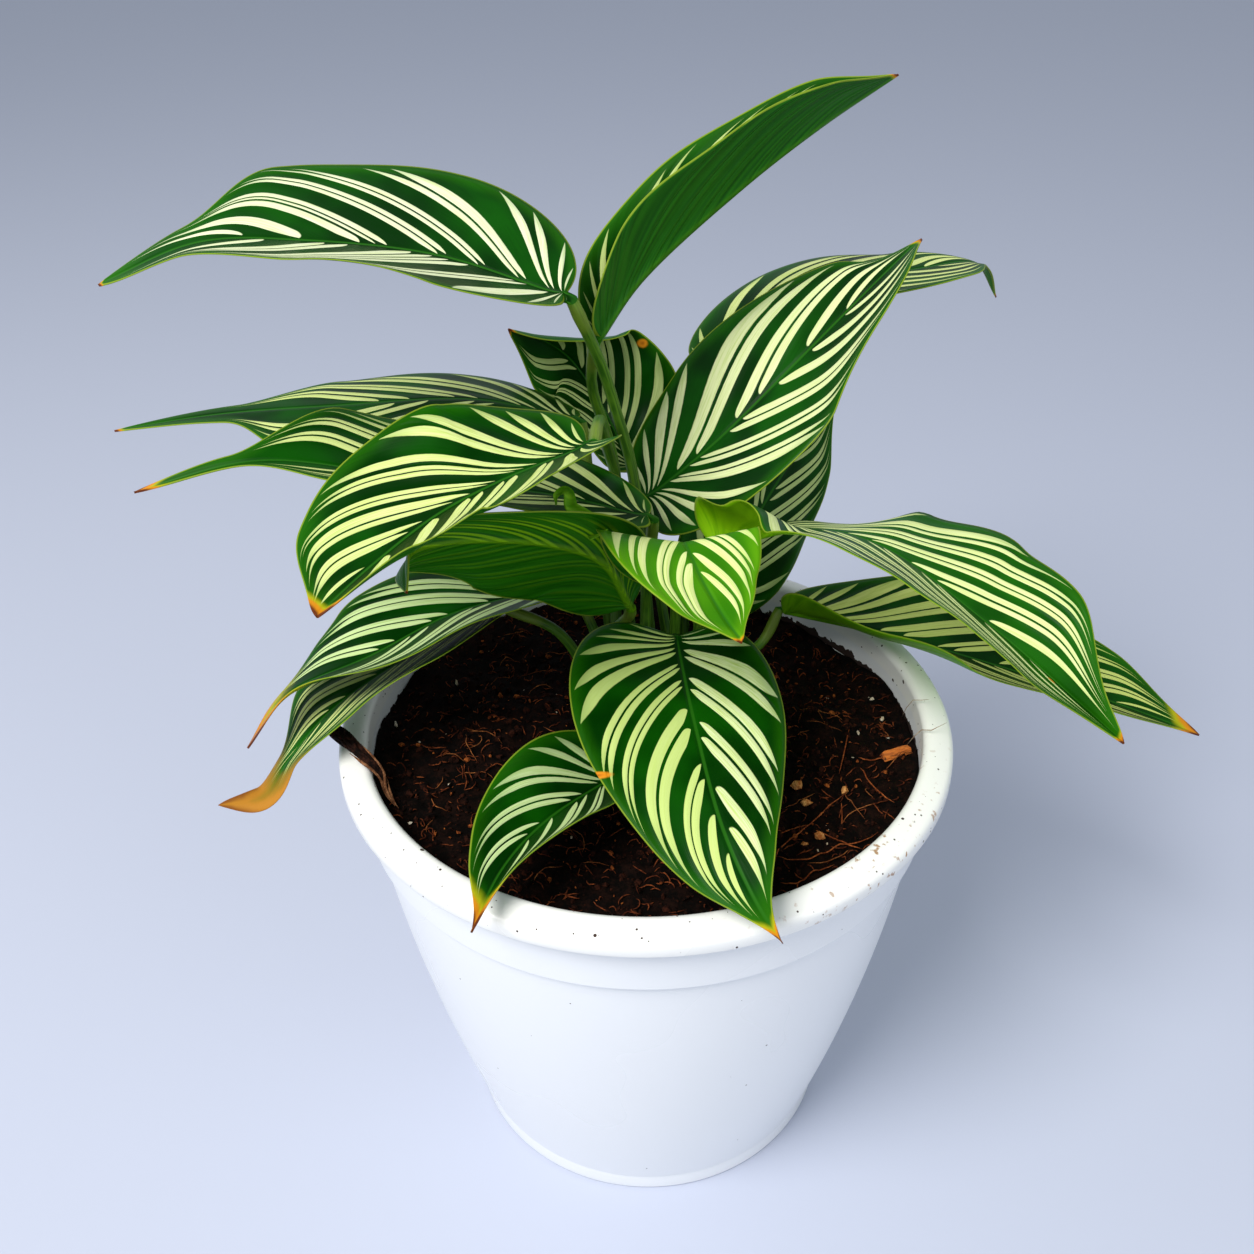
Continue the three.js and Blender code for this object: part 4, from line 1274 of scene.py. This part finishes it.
# Large front leaf on the left
grow(
    "leaf_07",
    root=(-11, 19),
    stalk=[(-9, 33, 246), (-12, 30, 261), (-13, 9, 279)],
    midrib=[(-16, -16, 282), (-39, -35, 281), (-55, -46, 277), (-70, -63, 272), (-81, -85, 270)],
    faces=(229, 56),
    left=blade_half(30, [23, 20, 15], 25),
    right=blade_half(32, [6, 18, 17], 6),
    broadest=0.43,
    lobe=26,
    seed=17,
    lean=(0.4, 0.52),
    hug=(0, 0.1),
    left_stripes=[
        (0.01, 0.02), (0.038, 0.066), (0.107, 0.128), (0.132, 0.162), (0.232, 0.27), (0.277, 0.307),
        (0.345, 0.378), (0.384, 0.434), (0.49, 0.56), (0.67, 0.74),
    ],
    right_stripes=[
        (0.004, 0.01), (0.014, 0.022), (0.042, 0.057), (0.062, 0.082), (0.131, 0.157), (0.174, 0.193),
        (0.197, 0.217), (0.277, 0.299), (0.303, 0.325), (0.352, 0.4), (0.407, 0.435), (0.5, 0.54),
        (0.546, 0.6), (0.69, 0.76),
    ],
    fresh_tail=0.45,
    tip=(0.05, 0.012),
)

# Long leaf behind it, with a rolled tail
grow(
    "leaf_08",
    root=(-11, 33),
    midrib=[(-23, 50, 260), (-56, 54, 266), (-106, 50, 266), (-145, 53, 262), (-183, 54, 256)],
    faces=(270, 89),
    left=blade_half(31, [-10, -5, 9], -3),
    right=blade_half(31, [-2, 2, 13], -17),
    tail=(0.54, 0.68),
    seed=18,
    left_stripes=[
        (0.004, 0.009), (0.014, 0.022), (0.05, 0.068), (0.075, 0.1), (0.14, 0.17), (0.18, 0.22),
        (0.28, 0.32), (0.34, 0.39),
    ],
    right_stripes=[
        (0.006, 0.012), (0.02, 0.03), (0.06, 0.08), (0.09, 0.12), (0.18, 0.21), (0.22, 0.26),
        (0.32, 0.36), (0.38, 0.43),
    ],
)

# Long leaf below that one, its base in front of the tall stalks
grow(
    "leaf_09",
    root=(0, 13),
    stalk=[(1, 15, 215)],
    midrib=[(1, 5, 247), (-25, 6, 254), (-68, -1, 264), (-113, -9, 275), (-148, -20, 271)],
    faces=(267, 86),
    twist=[0, 0, -13],
    left=blade_half(19, [2, 14, 15], 11),
    right=blade_half(30, [0, 10, 24], -2),
    broadest=0.4,
    lobe=14,
    tail=(0.62, 0.8),
    seed=19,
    left_stripes=[
        (0.01, 0.02), (0.05, 0.08), (0.1, 0.13), (0.15, 0.18), (0.25, 0.29), (0.31, 0.36), (0.46, 0.51),
    ],
    right_stripes=[
        (0.01, 0.02), (0.04, 0.06), (0.1, 0.13), (0.14, 0.17), (0.22, 0.25), (0.26, 0.3), (0.37, 0.405),
        (0.42, 0.47),
    ],
    tip=(0.05, 0.014),
)

# Low left leaf
grow(
    "leaf_10",
    root=(-11, 26),
    midrib=[(-27, 37, 201), (-64, 20, 202), (-92, -1, 198), (-118, -16, 193), (-129, -29, 182)],
    faces=(279, 89),
    twist=[0, 0, 26],
    left=blade_half(28, [18, 19, 10], 15),
    right=blade_half(29, [-2, 17, -9], -14),
    broadest=0.4,
    tail=(0.69, 0.5),
    seed=20,
    left_stripes=[
        (0.01, 0.02), (0.05, 0.09), (0.1, 0.13), (0.19, 0.24), (0.25, 0.29), (0.38, 0.42), (0.44, 0.48),
    ],
    right_stripes=[
        (0.007, 0.013), (0.017, 0.025), (0.066, 0.087), (0.091, 0.118), (0.152, 0.19), (0.197, 0.245),
        (0.324, 0.36), (0.367, 0.407), (0.48, 0.52), (0.53, 0.57),
    ],
    **cool_stripes,
    tip=(0.17, 0.02),
)

# Shaded leaf under the low left one
grow(
    "leaf_11",
    root=(-18, 20),
    stalk=[(-30, 24, 190)],
    midrib=[
        (-51, 26, 198), (-84, 5, 191), (-105, -13, 184),
        (-117, -27, 175), (-124, -38, 169), (-137, -43, 170),
    ],
    faces=(206, 54),
    twist=[0, 0, 0, 0, -60],
    left=blade_half(27, [22, 15, 1], 13),
    right=blade_half(27, [10, 10, -15], -13),
    tail=(0.56, 0.55),
    seed=21,
    tip=(0.21, 0.02),
    dry=(screen(150, 118, 34), screen(186, 126, 40), screen(140, 84, 30)),
    green=screen(22, 96, 6),
)

# Green leaf in the middle that shows its underside
grow(
    "leaf_12",
    root=(-11, 11),
    stalk=[(-10, 15, 196), (-5, 9, 207)],
    midrib=[(-5, 1, 217), (-14, -10, 241), (-41, -27, 258), (-65, -39, 261), (-65, -54, 257)],
    faces=(108, 20),
    left=blade_half(17, [40, 2, 14], -23),
    right=blade_half(28, [5, 6, 18], -4),
    lobe=7,
    seed=22,
    tip=(0.006, 0.004),
    deep=screen(34, 104, 3),
    green=screen(52, 126, 5),
    cream=screen(84, 152, 16),
    pale=screen(76, 144, 14),
    under=screen(18, 82, 2),
    under_light=screen(34, 104, 4),
    under_pale=screen(124, 172, 10),
    # The pale bands are the stripes seen on the underside; that they show far more on the left half than
    # the right is painted light, for the half that faces up
    shows=(0.75, 0.14),
)

# Young pale leaf that arches forward in the middle
grow(
    "leaf_13",
    root=(10, 15),
    stalk=[(11, 14, 208)],
    midrib=[(12, -9, 230), (12, -18, 246), (12, -25, 255), (17, -41, 251), (22, -50, 246), (27, -59, 243)],
    faces=(90, 75),
    twist=[0, 7],
    left=blade_half(23, [8, 6, 9], -2),
    right=blade_half(26, [6, 12, 12], 4),
    seed=23,
    left_stripes=[
        (0.04, 0.07), (0.08, 0.12), (0.19, 0.23), (0.245, 0.29), (0.32, 0.385), (0.47, 0.54),
        (0.575, 0.64),
    ],
    right_stripes=[
        (0.03, 0.06), (0.075, 0.11), (0.141, 0.172), (0.193, 0.245), (0.324, 0.366), (0.371, 0.414),
        (0.469, 0.517), (0.523, 0.6),
    ],
    ends=(0.7, 1.2),
    deep=screen(40, 112, 2),
    green=screen(72, 142, 4),
    fresh=screen(108, 168, 12),
    cream=screen(230, 240, 164),
    pale=screen(202, 224, 118),
    tip=(0.025, 0.01),
)

# Ear of the young leaf: a narrow pale green strip of its margin that has grown out to the left
# and curls back over itself, cupped across. Its middle line and half widths are in millimetres.
ear_line = [
    (-13.4, -14, 251.4),
    (-17.5, -8.4, 254.7),
    (-21.8, -7.1, 257.5),
    (-22.8, -3, 259.9),
    (-24.8, -1, 259.9),
    (-26.7, -1.8, 258.9),
    (-26.6, -5.7, 257.5),
]
EAR_HALF_WIDTHS = [3.2, 2.6, 2.2, 2, 1.6, 1, 0.3]
EAR_THICKNESS = 0.5
EAR_CUP = 0.9
EAR_RINGS = 40
EAR_COLUMNS = 7
spots, headings, _ = curve_through(ear_line, EAR_RINGS)
towards = direction(285, 35)
sides = np.cross(towards, headings)
sides /= np.linalg.norm(sides, axis=1)[:, None]
outward = np.cross(headings, sides)
wide = along(EAR_HALF_WIDTHS, np.linspace(0, 1, EAR_RINGS))
ear_points = []
for layer in (0.5, -0.5):
    for t in np.linspace(-1, 1, EAR_COLUMNS):
        raised = EAR_CUP * t**2 + layer * EAR_THICKNESS
        ear_points.append(spots + sides * (wide * t)[:, None] + outward * raised)
ear_points = np.stack(ear_points, 1)
around = 2 * EAR_COLUMNS
ring = [*range(EAR_COLUMNS), *range(around - 1, EAR_COLUMNS - 1, -1)]
last = (EAR_RINGS - 1) * around
ear_faces = [tuple(ring), tuple(last + i for i in ring[::-1])]
for low in range(0, last, around):
    high = low + around
    for a, b in zip(ring, ring[1:] + ring[:1]):
        ear_faces.append((low + a, high + a, high + b, low + b))
ear_mesh = bpy.data.meshes.new("young_ear")
ear_mesh.from_pydata((ear_points.reshape(-1, 3) * MM).tolist(), [], ear_faces)
ear_mesh.shade_smooth()
ear = set_out("young_ear", ear_mesh)
ear_finish, tree, shader = finish("young ear")
where = put(tree, "TexCoord").outputs["Object"]
lines = grain(tree, put(tree, "Mapping", {"Vector": where, "Scale": (90, 300, 300)}).outputs[0], 1.0, 2)
colour = tint(tree, rise(tree, lines, 0.35, 0.65), screen(84, 152, 8), screen(142, 200, 40))
tree.links.new(colour, shader.inputs["Base Color"])
shader.inputs["Roughness"].default_value = 0.42
shader.inputs["Specular IOR Level"].default_value = 0.1
ear_mesh.materials.append(ear_finish)
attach(ear, "root")

# Large arching leaf on the right, its front half folded over at the base
grow(
    "leaf_14",
    root=(17, 22),
    midrib=[(24, 12, 231), (48, 9, 240), (72, -6, 243), (102, -28, 229), (142, -54, 202)],
    faces=(287, 83),
    twist=[0, 0, 17],
    left=blade_half(37.5, [-37, -26, -10, 12, 34, 48], [-6, -8]),
    right=blade_half(37, [120, 58, 24, 26, 30, 33, 35, 37, 39], [10, 5]),
    lobe=24,
    tail=(0.74, 0.43),
    seed=24,
    lean=(0.85, 0.6),
    left_stripes=[
        (0.004, 0.012), (0.02, 0.032), (0.052, 0.075), (0.083, 0.1), (0.135, 0.165), (0.175, 0.21),
        (0.265, 0.305), (0.315, 0.35), (0.415, 0.46), (0.475, 0.515), (0.59, 0.65),
    ],
    right_stripes=[
        (0.02, 0.035), (0.05, 0.062), (0.07, 0.085), (0.12, 0.14), (0.15, 0.17), (0.22, 0.24),
        (0.25, 0.28), (0.33, 0.35), (0.36, 0.39), (0.45, 0.48), (0.49, 0.52), (0.6, 0.64), (0.72, 0.76),
    ],
    green=screen(24, 96, 4),
    deep=screen(10, 66, 2),
    cream=screen(228, 240, 170),
    pale=screen(206, 224, 130),
    fresh_tail=0.45,
    under=screen(116, 182, 4),
    under_light=screen(146, 206, 12),
    burns=[(0.811, -0.12, 1.6, 1)],
)

# Low right leaf, its front half rolled up at the base
grow(
    "leaf_15",
    root=(24, 30),
    stalk=[(44, 43, 172)],
    midrib=[(53, 48, 183), (83, 36, 182), (115, 31, 174), (168, 18, 162), (200, 11, 152)],
    faces=(270, 88),
    left=blade_half(32, [-3, 24, 19], 5),
    right=blade_half(31, [40, 20, 16, 16, 16], [50, 30, 22, 22, 22]),
    broadest=0.39,
    lobe=14,
    seed=25,
    left_stripes=[
        (0.004, 0.01), (0.017, 0.037), (0.042, 0.062), (0.086, 0.117), (0.121, 0.15), (0.195, 0.24),
        (0.246, 0.29), (0.345, 0.37), (0.376, 0.41), (0.48, 0.515), (0.52, 0.56), (0.61, 0.64),
        (0.65, 0.69), (0.76, 0.8),
    ],
    right_stripes=[
        (0.02, 0.04), (0.045, 0.065), (0.12, 0.15), (0.158, 0.19), (0.25, 0.29), (0.3, 0.34),
        (0.42, 0.46), (0.47, 0.51), (0.6, 0.65), (0.66, 0.7),
    ],
    cream=screen(210, 222, 126),
    pale=screen(188, 206, 98),
    under=screen(84, 150, 8),
    under_light=screen(108, 172, 16),
    tip=(0.065, 0.008),
)

# Heart-shaped front leaf that hangs over the rim
grow(
    "leaf_16",
    root=(7, 4),
    midrib=[(11, 3, 201), (15, -40, 201), (22, -80, 193), (30, -101, 186), (36, -115, 185)],
    faces=(278, 51),
    twist=[0, 0, 14],
    left=blade_half(30, [16, -6, 11], -12),
    right=blade_half(38, [18, 5, 2], -1),
    broadest=0.29,
    lobe=21,
    seed=26,
    lean=(0.44, 0.53),
    left_stripes=[
        (0.003, 0.011), (0.028, 0.054), (0.059, 0.084), (0.15, 0.193), (0.203, 0.243), (0.323, 0.366),
        (0.379, 0.428), (0.516, 0.592), (0.617, 0.7),
    ],
    right_stripes=[
        (0.002, 0.005), (0.01, 0.018), (0.027, 0.038), (0.044, 0.062), (0.098, 0.115), (0.118, 0.139),
        (0.171, 0.194), (0.198, 0.218), (0.277, 0.328), (0.341, 0.393), (0.468, 0.503), (0.508, 0.552),
        (0.6, 0.66), (0.69, 0.76),
    ],
    ends=(1.3, 1.6),
    cream=screen(228, 240, 182),
    pale=screen(196, 218, 120),
    yellower=(0, 0.85),
    fresh_tail=0.75,
    tip=(0.06, 0.012),
    burns=[(0.507, -1.0, 5, 0.3)],
)

# Small front leaf on the left
grow(
    "leaf_17",
    root=(-2, -4),
    midrib=[(-9, -33, 173), (-30, -61, 179), (-41, -84, 182), (-48, -106, 180)],
    faces=(253, 64),
    twist=[0, 9],
    left=blade_half(20, [28, 17, 25], 33),
    right=blade_half(23, [26, 16, 18], 23),
    broadest=0.29,
    lobe=14,
    seed=27,
    lean=(0.6, 0.75),
    left_stripes=[
        (0.02, 0.035), (0.062, 0.077), (0.084, 0.1), (0.16, 0.193), (0.207, 0.262), (0.36, 0.405),
        (0.5, 0.56),
    ],
    right_stripes=[
        (0.005, 0.012), (0.018, 0.026), (0.045, 0.065), (0.073, 0.095), (0.17, 0.21), (0.223, 0.27),
        (0.4, 0.45), (0.47, 0.53),
    ],
    **cool_stripes,
    tip=(0.14, 0.03),
)

# Fibre bundle
# Dry coconut fibres twisted into a loose cord, dark brown with three paler ones, that lies over
# the left of the rim and runs down onto the soil. Its ends are frayed.

bundle_route = [
    (-109, -12, 176.5),
    (-104.5, -15.5, 178.4),
    (-99, -21, 178.9),
    (-94.5, -26, 179),
    (-91, -28.5, 177.3),
    (-86, -31, 172),
    (-84.5, -33.5, 167.8),
    (-82.5, -37, 166.3),
    (-79.5, -41, 165.7),
]
BUNDLE_RADII = [2, 2.5, 1.8, 1.1, 0.6]
STRAND_RADIUS = 0.5
BUNDLE_MARKS = 60


def twisted_routes(seed, count, spread, turns, frizz, first=0.0, last=1.0):
    """Routes of the bundle's fibres, which wind round its middle line."""
    spots, headings, _ = curve_through(bundle_route, BUNDLE_MARKS)
    side = np.cross(np.array([0, 0, 1.0]), headings)
    side /= np.linalg.norm(side, axis=1)[:, None]
    up = np.cross(headings, side)
    chance = np.random.default_rng(seed)
    share = np.linspace(0, 1, BUNDLE_MARKS)
    room = np.maximum(along(BUNDLE_RADII, share) - STRAND_RADIUS, 0.1)
    routes = []
    for i in range(count):
        wander = 0.5 * np.sin(5 * share + chance.uniform(0, 6))
        wander += frizz * np.sin(23 * share + chance.uniform(0, 6))
        angle = 2 * math.pi * (i / count + turns * share) + wander
        away = spread * (0.5 + 0.5 * chance.random()) * room
        route = spots + side * (away * np.cos(angle))[:, None] + up * (away * np.sin(angle))[:, None]
        keep = (share >= first) & (share <= last * chance.uniform(0.93, 1))
        routes.append(route[keep])
    return routes


dry = peat_finish("dry fibre", screen(14, 7, 5), screen(58, 32, 22), 420)
dark_routes = twisted_routes(2, 30, 1.15, 0.9, 0.5, last=0.85)
bundle = threads("fibre_strands", dry, dark_routes, STRAND_RADIUS, 7)
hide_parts("fibre_bundle")
pale_dry = peat_finish("pale dry fibre", screen(96, 60, 38), screen(166, 116, 80), 420)
light_routes = twisted_routes(6, 3, 2.1, 0.3, 0.2, first=0.42)
threads("pale_strands", pale_dry, light_routes, STRAND_RADIUS, 7)

# Bark chip
# A splinter of orange-brown bark that lies on the soil at the right, split along its grain.

corners = [
    (-5.6, -1.6, 0.4),
    (-5.2, 1.6, 0),
    (5.4, -1.9, 0),
    (5.8, 1.5, 0.5),
    (-5.4, -1.2, 1.9),
    (-4.8, 1.5, 2.4),
    (5, -1.6, 2.7),
    (5.4, 1.1, 2),
    (0.4, 2.1, 1.3),
    (-0.4, -2.2, 0.7),
    (0.3, -0.3, 3.1),
]
CHIP_PLACE = (86, -11)
CHIP_TURN = math.radians(28)
LITTER_GAP = 0.3
chip_seat = soil_top(*CHIP_PLACE) + LITTER_GAP
chip = bmesh.new()
for x, y, z in corners:
    chip.verts.new((x, y, z))
bmesh.ops.convex_hull(chip, input=chip.verts)
bmesh.ops.subdivide_edges(chip, edges=chip.edges, cuts=7, use_grid_fill=True)
bmesh.ops.triangulate(chip, faces=chip.faces)
for vertex in chip.verts:
    x, y, z = vertex.co
    split = noise.noise(Vector((x * 0.25, y * 2.2, z * 2.6)))
    ragged = noise.noise(Vector((x * 1.3, y * 1.3, z * 1.3 + 7)))
    vertex.co = Vector((x * (1 + 0.05 * ragged), y * (0.93 + 0.16 * split), z * (0.93 + 0.14 * split)))
chip_mesh = bpy.data.meshes.new("bark_splinter")
chip.transform(Matrix.Rotation(CHIP_TURN, 4, "Z"))
chip.transform(Matrix.Translation((*CHIP_PLACE, chip_seat)))
chip.transform(Matrix.Scale(MM, 4))
chip.to_mesh(chip_mesh)
chip.free()
bark = set_out("bark_splinter", chip_mesh)
bark_finish, tree, shader = finish("bark")
where = put(tree, "TexCoord").outputs["Object"]
turned = put(tree, "Mapping", {"Vector": where, "Rotation": (0, 0, -CHIP_TURN), "Scale": (40, 420, 420)})
lines = grain(tree, turned.outputs[0], 1.0, 4)
patch = grain(tree, where, 240, 2)
colour = tint(tree, rise(tree, lines, 0.35, 0.65), screen(120, 54, 14), screen(214, 118, 38))
colour = tint(tree, rise(tree, patch, 0.62, 0.72), colour, screen(58, 30, 16))
dress(tree, shader, colour, plus(tree, times(tree, lines, 0.2), 0.7), lines, 0.0006, 0.9)
chip_mesh.materials.append(bark_finish)
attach(bark, "root")
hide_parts("bark_chip")
